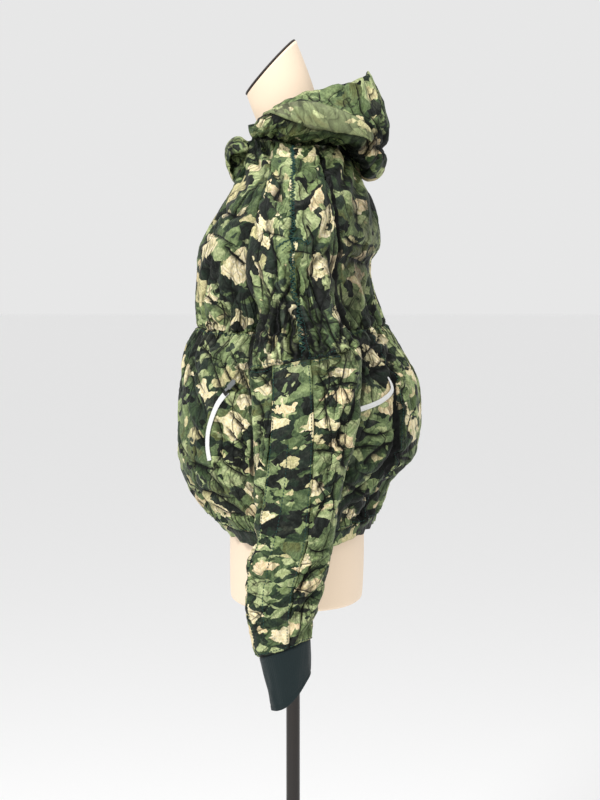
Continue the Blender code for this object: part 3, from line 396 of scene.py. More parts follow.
def spot(ix, iy, iz, seed):
    """A number from 0 to 255 for each cell of a lattice."""
    a = SHUFFLE[(ix + 37 * seed) & 255]
    b = SHUFFLE[(iy + a) & 255]
    return SHUFFLE[(iz + b + 101 * seed) & 255]


def noise(points, size, seed=0):
    """Smooth noise from about -1 to 1 with features of the given size, at (..., 3) points."""
    p = np.asarray(points, np.float32) / np.float32(size) if np.isscalar(size) else points / np.asarray(size, np.float32)
    i = np.floor(p).astype(int)
    f = (p - i).astype(np.float32)
    u = f * f * f * (f * (f * 6 - 15) + 10)
    total = 0
    for dx in (0, 1):
        wx = u[..., 0] if dx else 1 - u[..., 0]
        for dy in (0, 1):
            wy = u[..., 1] if dy else 1 - u[..., 1]
            for dz in (0, 1):
                wz = u[..., 2] if dz else 1 - u[..., 2]
                g = GRADIENTS[spot(i[..., 0] + dx, i[..., 1] + dy, i[..., 2] + dz, seed)]
                d = g[..., 0] * (f[..., 0] - dx) + g[..., 1] * (f[..., 1] - dy) + g[..., 2] * (f[..., 2] - dz)
                total = total + wx * wy * wz * d
    return total * 1.6


def cells_of(points, size, seed=0):
    """Distance to the nearest of a set of scattered spots, in units of their spacing."""
    p = np.asarray(points, np.float32) / np.float32(size)
    i = np.floor(p).astype(int)
    f = p - i
    best = np.full(p.shape[:-1], 9.0, np.float32)
    for dx in (-1, 0, 1):
        for dy in (-1, 0, 1):
            for dz in (-1, 0, 1):
                h = spot(i[..., 0] + dx, i[..., 1] + dy, i[..., 2] + dz, seed)
                g = GRADIENTS[h]
                d = np.stack([dx + 0.5 + 0.42 * g[..., 0], dy + 0.5 + 0.42 * g[..., 1], dz + 0.5 + 0.42 * g[..., 2]], -1) - f
                best = np.minimum(best, np.sum(d * d, -1))
    return np.sqrt(best)


def warped(points, size, reach, seed):
    """Points moved by smooth noise of a size, up to a reach."""
    shift = np.stack([noise(points, size, seed + k) for k in range(3)], -1)
    return points + reach * shift


def crumple(points, seed=0):
    """Height of lightly crumpled nylon, about -1 to 1: facets with sharp ridges and valleys."""
    p = warped(points, 0.060, 0.022, seed + 5)
    big = cells_of(p, 0.062, seed + 1)
    mid = cells_of(warped(points, 0.03, 0.008, seed + 9), 0.030, seed + 2)
    small = cells_of(points, 0.015, seed + 3)
    height = 1.2 * (0.62 - big) + 0.50 * (mid - 0.62) + 0.08 * (0.62 - small) + 0.6 * noise(points, 0.07, seed + 4)
    return height


# ------------------------------------------------------------------ settling of the cloth
def solve(a, b, length, wa, wb, share):
    """Moves the ends of many edges along them, towards the edges' lengths."""
    d = b - a
    far = np.sqrt(np.einsum("...k,...k", d, d)) + 1e-12
    move = (share * (far - length) / far / np.maximum(wa + wb, 1e-9))[..., None] * d
    a += wa[..., None] * move
    b -= wb[..., None] * move


def settle(points, base, out, length_a, length_b, free, low, high, rounds, bend=0.06, smooth=0.02, hold=0.03):
    """Cloth on a grid: keeps its edge lengths, resists bending, and stays between low and high off its base."""
    p = points
    diagonal = np.sqrt(
        (0.5 * (length_a[:, 1:] + length_a[:, :-1])) ** 2 + (0.5 * (length_b[1:] + length_b[:-1])) ** 2
    )
    for _ in range(rounds):
        for start in (0, 1):
            n = (p.shape[0] - start) // 2
            a, b = p[start:start + 2 * n:2], p[start + 1:start + 2 * n:2]
            solve(a, b, length_a[start:start + 2 * n:2][:n], free[start:start + 2 * n:2], free[start + 1:start + 2 * n:2], 1.0)
        for start in (0, 1):
            n = (p.shape[1] - start) // 2
            a, b = p[:, start:start + 2 * n:2], p[:, start + 1:start + 2 * n:2]
            solve(a, b, length_b[:, start:start + 2 * n:2][:, :n], free[:, start:start + 2 * n:2], free[:, start + 1:start + 2 * n:2], 1.0)
        for start in (0, 1):
            n = (p.shape[0] - start) // 2
            r0, r1 = slice(start, start + 2 * n, 2), slice(start + 1, start + 2 * n, 2)
            solve(p[r0, :-1], p[r1, 1:], diagonal[r0][:n], free[r0, :-1], free[r1, 1:], 0.30)
            solve(p[r0, 1:], p[r1, :-1], diagonal[r0][:n], free[r0, 1:], free[r1, :-1], 0.30)
        if bend:
            for axis, length in ((0, length_a), (1, length_b)):
                q = np.moveaxis(p, axis, 0)
                f = np.moveaxis(free, axis, 0)
                l = np.moveaxis(length, axis, 0)
                d = q[2:] - q[:-2]
                far = np.sqrt(np.einsum("...k,...k", d, d)) + 1e-12
                want = 0.985 * (l[1:] + l[:-1])
                move = (bend * np.minimum(far - want, 0) / far)[..., None] * d
                q[:-2] += f[:-2, ..., None] * move
                q[2:] -= f[2:, ..., None] * move
                if smooth:
                    lap = 0.5 * (q[2:] + q[:-2]) - q[1:-1]
                    q[1:-1] += smooth * f[1:-1, ..., None] * lap
        e = p - base
        h = np.einsum("...k,...k", e, out)
        keep = np.clip(h, low, high)
        across = e - h[..., None] * out
        p += (free * (keep - h))[..., None] * out - (hold * free)[..., None] * across
    return p


def doubled(field, axis):
    """A field with new values half way between those along an axis, on a smooth curve."""
    f = np.moveaxis(field, axis, 0)
    padded = np.concatenate([2 * f[:1] - f[1:2], f, 2 * f[-1:] - f[-2:-1]])
    middle = (9 * (padded[1:-2] + padded[2:-1]) - padded[:-3] - padded[3:]) / 16
    made = np.empty((2 * f.shape[0] - 1, *f.shape[1:]), f.dtype)
    made[::2], made[1::2] = f, middle
    return np.moveaxis(made, 0, axis)


def edge_lengths(points):
    return (
        np.linalg.norm(points[1:] - points[:-1], axis=-1),
        np.linalg.norm(points[:, 1:] - points[:, :-1], axis=-1),
    )


def even(curve, marks, spacing=SPACING):
    """Values of a curve's parameter through marks, evenly spaced along the curve between them.
    Each stretch has a whole number of coarse steps."""
    made = [float(marks[0])]
    for lo, hi in zip(marks, marks[1:]):
        t = np.linspace(lo, hi, 160)
        run = np.concatenate([[0], np.cumsum(np.linalg.norm(np.diff(curve(t), axis=0), axis=-1))])
        n = max(1, round(run[-1] / (COARSE * spacing))) * COARSE
        made += list(np.interp(np.linspace(0, run[-1], n + 1)[1:], run, t))
    return np.array(made)


PIECES = {}
LAID = np.random.default_rng(512)       # where each piece was cut from the printed cloth
FOLD_SETS = 8           # how many sets of fold lines a material reads


def stretch_of(scale):
    return max(scale[:2]) / min(scale[:2])


class Cloth:
    """One cut piece while it is made: its grid, its fields, and at the end its object."""

    def __init__(self, name, surface, a, b, outward, mirror=False, skip=None):
        self.name, self.mirror = name, mirror
        self.a, self.b = np.meshgrid(a, b, indexing="ij")
        self.base = np.asarray(surface(self.a, self.b), float)
        self.out = np.asarray(outward, float)
        facing = np.cross(self.base[:-1, 1:] - self.base[:-1, :-1], self.base[1:, :-1] - self.base[:-1, :-1])
        self.turned = (np.sum(facing * self.out[:-1, :-1]) < 0) != mirror
        if mirror:
            self.base = self.base * [-1, 1, 1]
            self.out = self.out * [-1, 1, 1]
        self.cells = np.ones((len(a) - 1, len(b) - 1), bool)
        if skip is not None:
            am, bm = np.meshgrid(0.5 * (a[1:] + a[:-1]), 0.5 * (b[1:] + b[:-1]), indexing="ij")
            self.cells = ~skip(am, bm)
        near = np.zeros(self.a.shape, int)
        for i in (slice(0, -1), slice(1, None)):
            for j in (slice(0, -1), slice(1, None)):
                near[i, j] += self.cells
        self.alive, self.border = near > 0, (near > 0) & (near < 4)
        la, lb = edge_lengths(self.base)
        both = self.alive[1:] & self.alive[:-1]
        self.s = np.concatenate([[0], np.cumsum(np.sum(la * both, 1) / np.maximum(both.sum(1), 1))])
        both = self.alive[:, 1:] & self.alive[:, :-1]
        self.t = np.concatenate([[0], np.cumsum(np.sum(lb * both, 0) / np.maximum(both.sum(0), 1))])
        # Flat coordinates in metres: along each row from the middle column, and along each
        # column from the last row, so that the print keeps its scale where the piece narrows.
        middle = len(a) // 2
        run_a = np.vstack([np.zeros((1, len(b))), np.cumsum(la, 0)])
        run_b = np.hstack([np.zeros((len(a), 1)), np.cumsum(lb, 1)])
        run_a -= run_a[middle:middle + 1]
        run_b -= run_b[:, -1:]
        even_a = 0.5 * run_a + 0.5 * (self.s - self.s[middle])[:, None]
        self.flat = np.stack([even_a, 0.5 * run_b + 0.5 * (self.t - self.t[-1])[None, :], np.zeros(self.a.shape)], -1)
        spots = self.base[self.border]
        tree = KDTree(len(spots))
        for k, point in enumerate(spots):
            tree.insert(point, k)
        tree.balance()
        self.seam = np.full(self.a.shape, 0.0)
        where = np.argwhere(self.alive)
        self.seam[self.alive] = [tree.find(self.base[i, j])[2] for i, j in where]
        self.free = np.where(self.alive & ~self.border, 1.0, 0.0)
        self.offset = np.zeros(self.a.shape)
        self.calm = np.ones(self.a.shape)       # 0 where the cloth is held smooth
        self.more_a = np.full(self.a.shape, 0.008)
        self.more_b = np.full(self.a.shape, 0.008)
        # Fold lines for the material, which paints a dark line of shade on each, painted shade on one side and a
        # painted highlight on the other: each a signed distance in metres and a strength.
        self.drawn = [np.full(self.a.shape, 0.01), np.zeros(self.a.shape)]
        self.shade = np.zeros(self.a.shape)     # where other cloth keeps the light away
        self.folds = []
        self.ripples = []
        self.low, self.high = -0.0065, 0.0045
        self.grain, self.print_scale = 0.0, 1.14

    def crease(self, lines, side=None):
        """Soft troughs (positive depth) or ridges along curves given as points in space.
        Each line: three points, width, depth. Only cloth that faces the viewer's side is bent."""
        for start, middle, end, width, depth in lines:
            k = np.linspace(0, 1, 26)[:, None]
            p0, p1, p2 = (np.array(q, float) for q in (start, middle, end))
            p1 = 2 * p1 - 0.5 * (p0 + p2)
            curve = (1 - k) ** 2 * p0 + 2 * k * (1 - k) * p1 + k**2 * p2
            if side == "left":
                flat, pts, face = curve[:, 1:], self.base[..., 1:], self.out[..., 0]
            elif side == "right":
                flat, pts, face = curve[:, 1:], self.base[..., 1:], -self.out[..., 0]
            elif side == "front":
                flat, pts, face = curve[:, [0, 2]], self.base[..., [0, 2]], -self.out[..., 1]
            else:
                flat, pts, face = curve[:, [0, 2]], self.base[..., [0, 2]], self.out[..., 1]
            box_lo, box_hi = flat.min(0) - 3 * width, flat.max(0) + 3 * width
            inside = np.all((pts > box_lo) & (pts < box_hi), -1) & (face > 0.05)
            if not inside.any():
                continue
            q = pts[inside]
            d = q[:, None, :] - flat[None]
            far = np.sqrt(np.sum(d * d, -1))
            best = np.argmin(far, 1)
            share = best / (len(flat) - 1)
            near = far[np.arange(len(q)), best]
            taper = np.sin(np.pi * np.clip(share, 0.02, 0.98)) ** 0.6
            w = width * (0.7 + 0.5 * taper)
            form = np.exp(-((near / w) ** 2)) - 0.35 * np.exp(-(((near - 1.9 * w) / (1.1 * w)) ** 2))
            self.offset[inside] -= depth * taper * form * np.clip(face[inside] * 2.2, 0, 1)
            if depth > 0:
                ahead = np.gradient(flat, axis=0)[best]
                ahead /= np.linalg.norm(ahead, axis=1, keepdims=True)
                aside = q - flat[best]
                aside = ahead[:, 0] * aside[:, 1] - ahead[:, 1] * aside[:, 0]
                ends = np.clip(share / 0.25, 0, 1) * np.clip((1 - share) / 0.25, 0, 1)
                # Painted shade beside the deeper troughs, and a dark line of painted shade along each trough.
                heavy = min(1.0, max(0.0, (depth - 0.0044) / 0.0024))
                broad = (0.0003 + 0.0024 * heavy) * taper
                if heavy:
                    self.darken(inside, 0.60 * heavy * taper * np.exp(-((near / 0.0065) ** 2)))
                self.draw(inside, aside, np.maximum(near - broad, 0.0), ends * min(1.3, depth / 0.0036) * np.clip(face[inside] * 3, 0, 1))

    def run(self, points, half=0.0016, depth=0.0034, width=0.0045, power=1.1, dim=0.55):
        """A long fold through several points of the side view: a soft trough with a dark line of painted shade along
        its bottom and painted shade beside it.
        """
        knots = np.array([points[0]] + list(points) + [points[-1]], float)
        k = np.linspace(0, len(points) - 1, 14 * (len(points) - 1) + 1)
        i = np.minimum(k.astype(int), len(points) - 2)
        t = (k - i)[:, None]
        p0, p1, p2, p3 = knots[i], knots[i + 1], knots[i + 2], knots[i + 3]
        flat = 0.5 * (2 * p1 + (p2 - p0) * t + (2 * p0 - 5 * p1 + 4 * p2 - p3) * t**2 + (3 * p1 - p0 - 3 * p2 + p3) * t**3)
        pts, face = self.base[..., 1:], np.abs(self.out[..., 0])
        inside = np.all((pts > flat.min(0) - 0.02) & (pts < flat.max(0) + 0.02), -1) & (face > 0.05)
        if not inside.any():
            return
        q = pts[inside]
        far = np.sqrt(np.sum((q[:, None, :] - flat[None]) ** 2, -1))
        best = np.argmin(far, 1)
        near = far[np.arange(len(q)), best]
        share = best / (len(flat) - 1)
        taper = np.clip(share / 0.10, 0, 1) * np.clip((1 - share) / 0.10, 0, 1)
        swell = 0.8 + 0.7 * noise(self.base[inside], 0.035, 97)
        self.offset[inside] -= depth * taper * (np.exp(-((near / width) ** 2)) - 0.35 * np.exp(-(((near - 1.9 * width) / (1.1 * width)) ** 2)))
        ahead = np.gradient(flat, axis=0)[best]
        ahead /= np.maximum(np.linalg.norm(ahead, axis=1, keepdims=True), 1e-9)
        aside = q - flat[best]
        aside = ahead[:, 0] * aside[:, 1] - ahead[:, 1] * aside[:, 0]
        self.draw(inside, aside, np.maximum(near - half * taper * np.clip(swell, 0.3, 1.5), 0), power * np.clip(taper * 2, 0, 1))
        self.darken(inside, dim * taper * np.exp(-((near / 0.0070) ** 2)))

    def draw(self, where, signed, near, weight):
        """Notes a fold line where it is nearer than the lines noted before."""
        old, power = self.drawn[0][where], self.drawn[1][where]
        better = np.abs(near) < np.abs(old)
        self.drawn[0][where] = np.where(better, np.copysign(near, signed), old)
        self.drawn[1][where] = np.where(better, weight * np.clip(1 - (near - 0.004) / 0.004, 0, 1), power)

    def darken(self, where, amount):
        self.shade[where] = np.maximum(self.shade[where], amount)

    def contact(self, spots, reach, amount):
        """Less light on the cloth near spots of another piece."""
        tree = KDTree(len(spots))
        for k, point in enumerate(spots):
            tree.insert(point, k)
        tree.balance()
        where = np.argwhere(self.alive)
        far = np.array([tree.find(self.base[i, j])[2] for i, j in where])
        self.darken(self.alive, amount * np.exp(-((far / reach) ** 2)))

    def note(self, field, weight, wide=1.0):
        """Notes the lines where a field is 0, as distances to them."""
        slope = np.hypot(np.gradient(field, self.s, axis=0), np.gradient(field, self.t, axis=1))
        self.folds.append((np.clip(field / np.maximum(slope, 14.0) / wide, -0.01, 0.01), weight))

    def trough(self, path, width, depth, shadow_line=0.0, broad=0.0018, shade=0.0):
        """A valley along points in space, the same on every piece that shares them. It can also paint shade near the
        valley and a dark line of painted shadow along its bottom.
        """
        if self.mirror:
            path = path * [-1, 1, 1]
        far = np.full(self.a.shape, 9.0)
        for point in path:
            far = np.minimum(far, np.linalg.norm(self.base - point, axis=-1))
        self.offset -= depth * np.exp(-((far / width) ** 2))
        if shade:
            self.shade = np.maximum(self.shade, shade * np.exp(-((far / 0.013) ** 2)) * (1 + 0.4 * noise(self.base, 0.04, 63)))
        if shadow_line:
            close = far < 0.01
            broad = broad * (1 + 0.8 * noise(self.base[close], 0.04, 61))
            self.draw(close, np.ones(int(close.sum())), np.maximum(far[close] - broad, 0), shadow_line)

    def wrinkle(self, across, along, depth, seed, lean=0.0, weight=1.0):
        """Long thin creases, steep on one side and soft on the other, that come and go."""
        f = self.flat + [0, 0, 0.9 * seed + (3.3 if self.mirror else 0)]
        x = f[..., 0] * math.cos(lean) + f[..., 1] * math.sin(lean)
        y = f[..., 1] * math.cos(lean) - f[..., 0] * math.sin(lean)
        x = x + 0.030 * noise(f, 0.13, seed + 2) + 0.005 * noise(f, 0.03, seed + 3)
        n = noise(np.stack([x / across, y / along, f[..., 2]], -1), 1.0, seed)
        form = np.where(n < 0, np.exp(n / 0.08), np.exp(-n / 0.50))
        there = np.clip((noise(f, (0.05, 0.08, 1), seed + 5) + 0.30) / 0.55, 0, 1)
        near = np.clip((self.seam - 0.001) / 0.010, 0.25, 1)
        self.offset -= depth * form * there * near * weight * self.calm
        power = np.clip(1.35 * there - 0.15, 0, 1) * near * weight * self.calm * np.clip(0.25 + depth / 0.0040, 0, 1)
        self.note(n, power)
        self.offset += 0.35 * depth * np.clip(n, -0.4, 0.8) * near * weight * self.calm

    def gather(self, weight, along, size, more, deep=0.0022, stretch=5.0, seed=0):
        """Extra cloth drawn together: folds of a size that run along 'a' or 'b', where weight is over 0."""
        if along == "b":
            self.more_a = self.more_a + more * weight
            scale = (size, size * stretch, size)
        else:
            self.more_b = self.more_b + more * weight
            scale = (size * stretch, size, size)
        self.ripples.append((weight, scale, deep, seed))

    def recess(self, path, wide, deep, lip):
        """A flat bed for a zip along points in space, with a lip of cloth at each side."""
        far = np.min(np.linalg.norm(self.base[:, :, None] - path[None, None], axis=-1), -1)
        bed = 1 - np.clip((far - wide) / 0.004, 0, 1)
        self.calm = self.calm * (1 - 0.97 * bed)
        self.offset = self.offset * (1 - bed) - deep * bed + lip * np.exp(-(((far - wide - 0.0035) / 0.0022) ** 2))

    def finish(self, material, slot, rough=0.0008, seed=0, low_edge=0, thick=SHELL, seam_dip=0.0004, pucker=0.0010, rounds=(70, 45, 24), bend=0.06):
        base, out = self.base, self.out
        near = np.clip(self.seam / 0.012, 0, 1)
        world = base
        if low_edge:
            # The sewn edge is tucked inside: the row at the seam line holds still as well.
            self.free[:, :low_edge] = 0.0
        shift = -seam_dip * np.exp(-((self.seam / 0.0030) ** 2))
        shift = shift + pucker * noise(world, 0.011, seed=71) * np.exp(-((self.seam / 0.010) ** 2)) * self.calm
        sway = np.stack([noise(world, 0.021, seed=75 + k) for k in range(3)], -1) * self.calm[..., None]
        base = base + out * (self.offset + shift)[..., None] + 0.0022 * sway * np.exp(-((self.seam / 0.012) ** 2))[..., None]
        puck = 0.045 * np.exp(-((self.seam / 0.012) ** 2)) * self.calm
        more_a = (self.more_a + puck) * self.calm
        more_b = (self.more_b + puck) * self.calm
        high = np.where(self.calm > 0.5, self.high, self.high * self.calm * 2)
        low = np.where(self.calm > 0.5, self.low, self.low * self.calm * 2)
        bumps = rough * crumple(world, seed) * near * self.calm
        for weight, scale, deep, ripple_seed in self.ripples:
            q = self.flat + [0, 0, 0.31 * ripple_seed + (0.7 if self.mirror else 0)]
            q = q + 0.006 * np.stack([noise(self.flat, 0.05, ripple_seed + 3), noise(self.flat, 0.05, ripple_seed + 4), 0 * self.a], -1)
            r = noise(q, scale, ripple_seed)
            r2 = noise(q, tuple(0.55 * k for k in scale), ripple_seed + 8)
            if deep > 0.0012:
                self.note(r, np.clip(2.0 * weight, 0, 1) * np.clip(noise(q, 0.035, ripple_seed + 12) * 1.2 + 0.80, 0, 1), 1.2)
            bumps = bumps + deep * weight * (2.4 * np.minimum(np.abs(r), 0.6) - 0.7 + 0.4 * r2) * np.clip(self.seam / 0.006, 0, 1)
        field = out * bumps[..., None]
        p = None
        levels = (4, 2, 1)
        for level, (step, turns) in enumerate(zip(levels, rounds)):
            sl = (slice(None, None, step), slice(None, None, step))
            b, n, f = base[sl], out[sl], self.free[sl]
            if p is None:
                p = b + field[sl] * f[..., None]
            else:
                grown = doubled(doubled(moved, 0), 1)
                p = b + grown
                p[f == 0] = b[f == 0]
                fresh = noise(world[sl], 0.010 if step == 1 else 0.022, seed + 20 + step)
                sharp = 1 - 2.4 * np.abs(noise(warped(world[sl], 0.02, 0.006, seed + 30), 0.013 if step == 1 else 0.026, seed + 40 + step))
                p += n * (f * self.calm[sl] * ((0.0001 if step == 1 else 0.0003) * fresh + (0.0004 if step == 1 else 0.0007) * sharp))[..., None]
            la, lb = edge_lengths(b)
            extra = (0.0, 0.004, 0.007)[level]
            ga, gb = more_a[sl] + extra * self.calm[sl], more_b[sl] + extra * self.calm[sl]
            la = la * (1 + 0.5 * (ga[1:] + ga[:-1]))
            lb = lb * (1 + 0.5 * (gb[:, 1:] + gb[:, :-1]))
            p = settle(p, b, n, la, lb, f, low[sl], high[sl], turns, bend=bend * (1.0, 0.7, 0.3)[level], smooth=(0.02, 0.012, 0.004)[level])
            moved = p - b
        self.points = p
        self.build(material, slot, thick, seed)
        return self

    def build(self, material, slot, thick, seed):
        p = self.points
        # Hollow or proud: how the surface stands against its surroundings, at two widths. The material paints shade in
        # the hollows and a highlight on the proud parts.
        hollow = np.zeros(self.a.shape)
        for reach, gain in ((1, 0.45), (3, 0.35), (7, 0.25)):
            for axis in (0, 1):
                q = np.moveaxis(p, axis, 0)
                n = np.moveaxis(self.out, axis, 0)
                h = np.moveaxis(hollow, axis, 0)
                lap = 0.5 * (q[2 * reach:] + q[:-2 * reach]) - q[reach:-reach]
                h[reach:-reach] += gain * np.einsum("...k,...k", lap, n[reach:-reach]) / (reach**1.35 * SPACING)
        index = -np.ones(self.a.shape, int)
        index[self.alive] = np.arange(self.alive.sum())
        corners = np.stack([index[:-1, :-1], index[:-1, 1:], index[1:, 1:], index[1:, :-1]], -1)[self.cells]
        if self.turned:
            corners = corners[:, ::-1]
        mesh = bpy.data.meshes.new(self.name)
        mesh.from_pydata(p[self.alive], [], corners.tolist())
        mesh.update()
        mesh.shade_smooth()
        turn = np.random.default_rng(seed + 900 + (17 if self.mirror else 0))
        place = turn.uniform(-4, 4, 3)
        values = mesh.attributes.new("flat", "FLOAT_VECTOR", "POINT")
        values.data.foreach_set("vector", (self.flat + place)[self.alive].astype(np.float32).ravel())
        # The print lies as the piece was cut from the printed cloth: turned, and moved along it.
        x, y, z = np.moveaxis(self.flat, -1, 0)
        c, s = math.cos(self.grain), math.sin(self.grain)
        printed = self.print_scale * np.stack([c * x - s * y, s * x + c * y, z], -1) + place[::-1] + LAID.uniform(-3, 3, 3)
        values = mesh.attributes.new("print", "FLOAT_VECTOR", "POINT")
        values.data.foreach_set("vector", printed[self.alive].astype(np.float32).ravel())
        values = mesh.attributes.new("hollow", "FLOAT", "POINT")
        values.data.foreach_set("value", hollow[self.alive].astype(np.float32))
        lines = [(self.drawn[0], self.drawn[1])] + self.folds[:FOLD_SETS - 1]
        for k, (far, power) in enumerate(lines):
            values = mesh.attributes.new(f"fold{k}", "FLOAT_VECTOR", "POINT")
            both = np.stack([far * 100, power, 0 * far], -1)
            values.data.foreach_set("vector", both[self.alive].astype(np.float32).ravel())
        values = mesh.attributes.new("shade", "FLOAT", "POINT")
        values.data.foreach_set("value", np.clip(self.shade, 0, 1)[self.alive].astype(np.float32))
        values = mesh.attributes.new("seam", "FLOAT", "POINT")
        values.data.foreach_set("value", self.seam[self.alive].astype(np.float32))
        mesh.materials.append(material)
        obj = bpy.data.objects.new(self.name + "_cloth", mesh)
        bpy.context.scene.collection.objects.link(obj)
        wall = obj.modifiers.new("wall", "SOLIDIFY")
        wall.thickness, wall.offset = thick, -1.0
        wall.use_even_offset = False
        self.object = obj
        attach(obj, ROOT)
        PIECES[self.name] = self
        return obj

    def area(self):
        """Flat size of the cut: its width, its length and its area, with the extra cloth in it."""
        la, lb = edge_lengths(self.base)
        wide = 0.5 * (la[:, 1:] + la[:, :-1]) * 0.5 * (lb[1:] + lb[:-1])
        growth = (1 + np.mean(self.more_a[self.alive])) * (1 + np.mean(self.more_b[self.alive]))
        width = self.s[-1] * (1 + np.mean(self.more_a[self.alive]))
        length = self.t[-1] * (1 + np.mean(self.more_b[self.alive]))
        return width, length, float(np.sum(wide * self.cells)) * growth


def fade(distance, reach, power=1.3):
    return np.clip(1 - np.abs(distance) / reach, 0, 1) ** power


# ------------------------------------------------------------------ creases placed one by one
# Each crease: start, middle and end in the plane named, in metres, then its width and its
# depth; a negative depth makes a ridge. Side creases are given as (y, z), front ones as (x, z).
SLEEVE_CREASES = [
    ((-0.013, 1.339), (-0.022, 1.303), (-0.021, 1.288), 0.0030, 0.0034),
    ((0.000, 1.286), (-0.001, 1.262), (0.001, 1.236), 0.0055, 0.0050),
    ((0.017, 1.287), (0.021, 1.277), (0.026, 1.268), 0.0026, 0.0026),
    ((-0.044, 1.262), (-0.022, 1.259), (-0.006, 1.253), 0.0034, 0.0032),
    ((-0.040, 1.300), (-0.041, 1.272), (-0.034, 1.244), 0.0040, -0.0030),
    ((-0.010, 1.235), (0.008, 1.236), (0.026, 1.230), 0.0030, 0.0036),
    ((0.030, 1.330), (0.034, 1.300), (0.042, 1.262), 0.0050, -0.0028),
    ((0.044, 1.325), (0.051, 1.290), (0.052, 1.232), 0.0036, 0.0036),
    ((0.026, 1.245), (0.031, 1.215), (0.020, 1.187), 0.0036, 0.0040),
    ((0.042, 1.250), (0.046, 1.205), (0.040, 1.172), 0.0040, -0.0034),
    ((-0.030, 1.240), (-0.022, 1.215), (-0.026, 1.185), 0.0034, 0.0036),
    ((-0.010, 1.222), (-0.014, 1.195), (-0.002, 1.165), 0.0036, -0.0032),
    ((0.004, 1.222), (0.010, 1.190), (0.006, 1.150), 0.0030, 0.0042),
    ((0.020, 1.190), (0.022, 1.165), (0.034, 1.130), 0.0034, 0.0040),
    ((-0.036, 1.190), (-0.030, 1.160), (-0.034, 1.125), 0.0032, 0.0036),
    ((-0.018, 1.175), (-0.020, 1.145), (-0.012, 1.105), 0.0030, 0.0040),
    ((0.040, 1.165), (0.050, 1.135), (0.062, 1.112), 0.0036, 0.0038),
    ((-0.046, 1.150), (-0.034, 1.130), (-0.018, 1.098), 0.0030, 0.0030),
    ((0.010, 1.150), (0.016, 1.128), (0.012, 1.100), 0.0028, 0.0034),
    ((0.052, 1.118), (0.036, 1.107), (0.020, 1.098), 0.0030, 0.0032),
]
LOWER_SLEEVE_CREASES = [
    ((-0.050, 1.085), (-0.038, 1.068), (-0.026, 1.058), 0.0030, 0.0036),
    ((-0.052, 1.060), (-0.046, 1.020), (-0.048, 0.985), 0.0040, -0.0030),
    ((-0.040, 1.040), (-0.044, 0.990), (-0.050, 0.945), 0.0034, 0.0034),
    ((0.030, 1.082), (0.044, 1.060), (0.050, 1.036), 0.0034, 0.0038),
    ((0.060, 1.084), (0.068, 1.052), (0.080, 1.030), 0.0034, 0.0036),
    ((0.078, 1.060), (0.060, 1.020), (0.056, 0.975), 0.0044, -0.0034),
    ((0.044, 1.030), (0.052, 0.985), (0.044, 0.930), 0.0036, 0.0038),
    ((0.074, 1.010), (0.068, 0.975), (0.070, 0.944), 0.0034, 0.0034),
    ((0.066, 0.942), (0.052, 0.930), (0.030, 0.930), 0.0032, 0.0032),
    ((0.052, 0.925), (0.040, 0.900), (0.026, 0.880), 0.0034, 0.0038),
    ((-0.046, 0.930), (-0.040, 0.895), (-0.046, 0.860), 0.0034, 0.0030),
    ((0.016, 0.850), (0.034, 0.842), (0.050, 0.846), 0.0036, 0.0040),
    ((0.072, 1.053), (0.064, 1.008), (0.0626, 0.978), 0.0028, 0.0048),
    ((0.040, 1.061), (0.044, 1.034), (0.043, 1.002), 0.0026, 0.0040),
    ((0.049, 1.078), (0.057, 1.051), (0.052, 1.015), 0.0026, 0.0036),
    ((0.026, 0.973), (0.043, 0.976), (0.066, 0.970), 0.0030, 0.0042),
    ((0.028, 0.947), (0.039, 0.923), (0.044, 0.910), 0.0028, 0.0036),
    ((0.057, 0.930), (0.044, 0.910), (0.026, 0.903), 0.0028, 0.0038),
    ((-0.047, 1.048), (-0.040, 1.015), (-0.045, 0.976), 0.0030, 0.0036),
    ((-0.026, 1.044), (-0.034, 1.002), (-0.040, 0.949), 0.0026, 0.0030),
    ((-0.053, 0.936), (-0.045, 0.923), (-0.034, 0.910), 0.0030, 0.0040),
    ((-0.045, 0.858), (-0.023, 0.842), (0.010, 0.847), 0.0030, 0.0042),
    ((-0.055, 0.831), (-0.032, 0.812), (-0.016, 0.779), 0.0030, 0.0040),
    ((0.039, 0.831), (0.021, 0.812), (0.010, 0.779), 0.0030, 0.0040),
    ((-0.056, 0.838), (-0.030, 0.832), (0.006, 0.842), 0.0036, 0.0044),
    ((-0.050, 0.820), (-0.024, 0.806), (-0.012, 0.780), 0.0038, 0.0036),
    ((0.044, 0.822), (0.020, 0.806), (0.010, 0.780), 0.0038, 0.0040),
    ((-0.058, 0.790), (-0.040, 0.768), (-0.030, 0.742), 0.0036, 0.0036),
    ((0.036, 0.788), (0.018, 0.768), (0.014, 0.738), 0.0034, 0.0036),
    ((-0.008, 0.800), (-0.004, 0.775), (-0.010, 0.745), 0.0040, -0.0030),
]
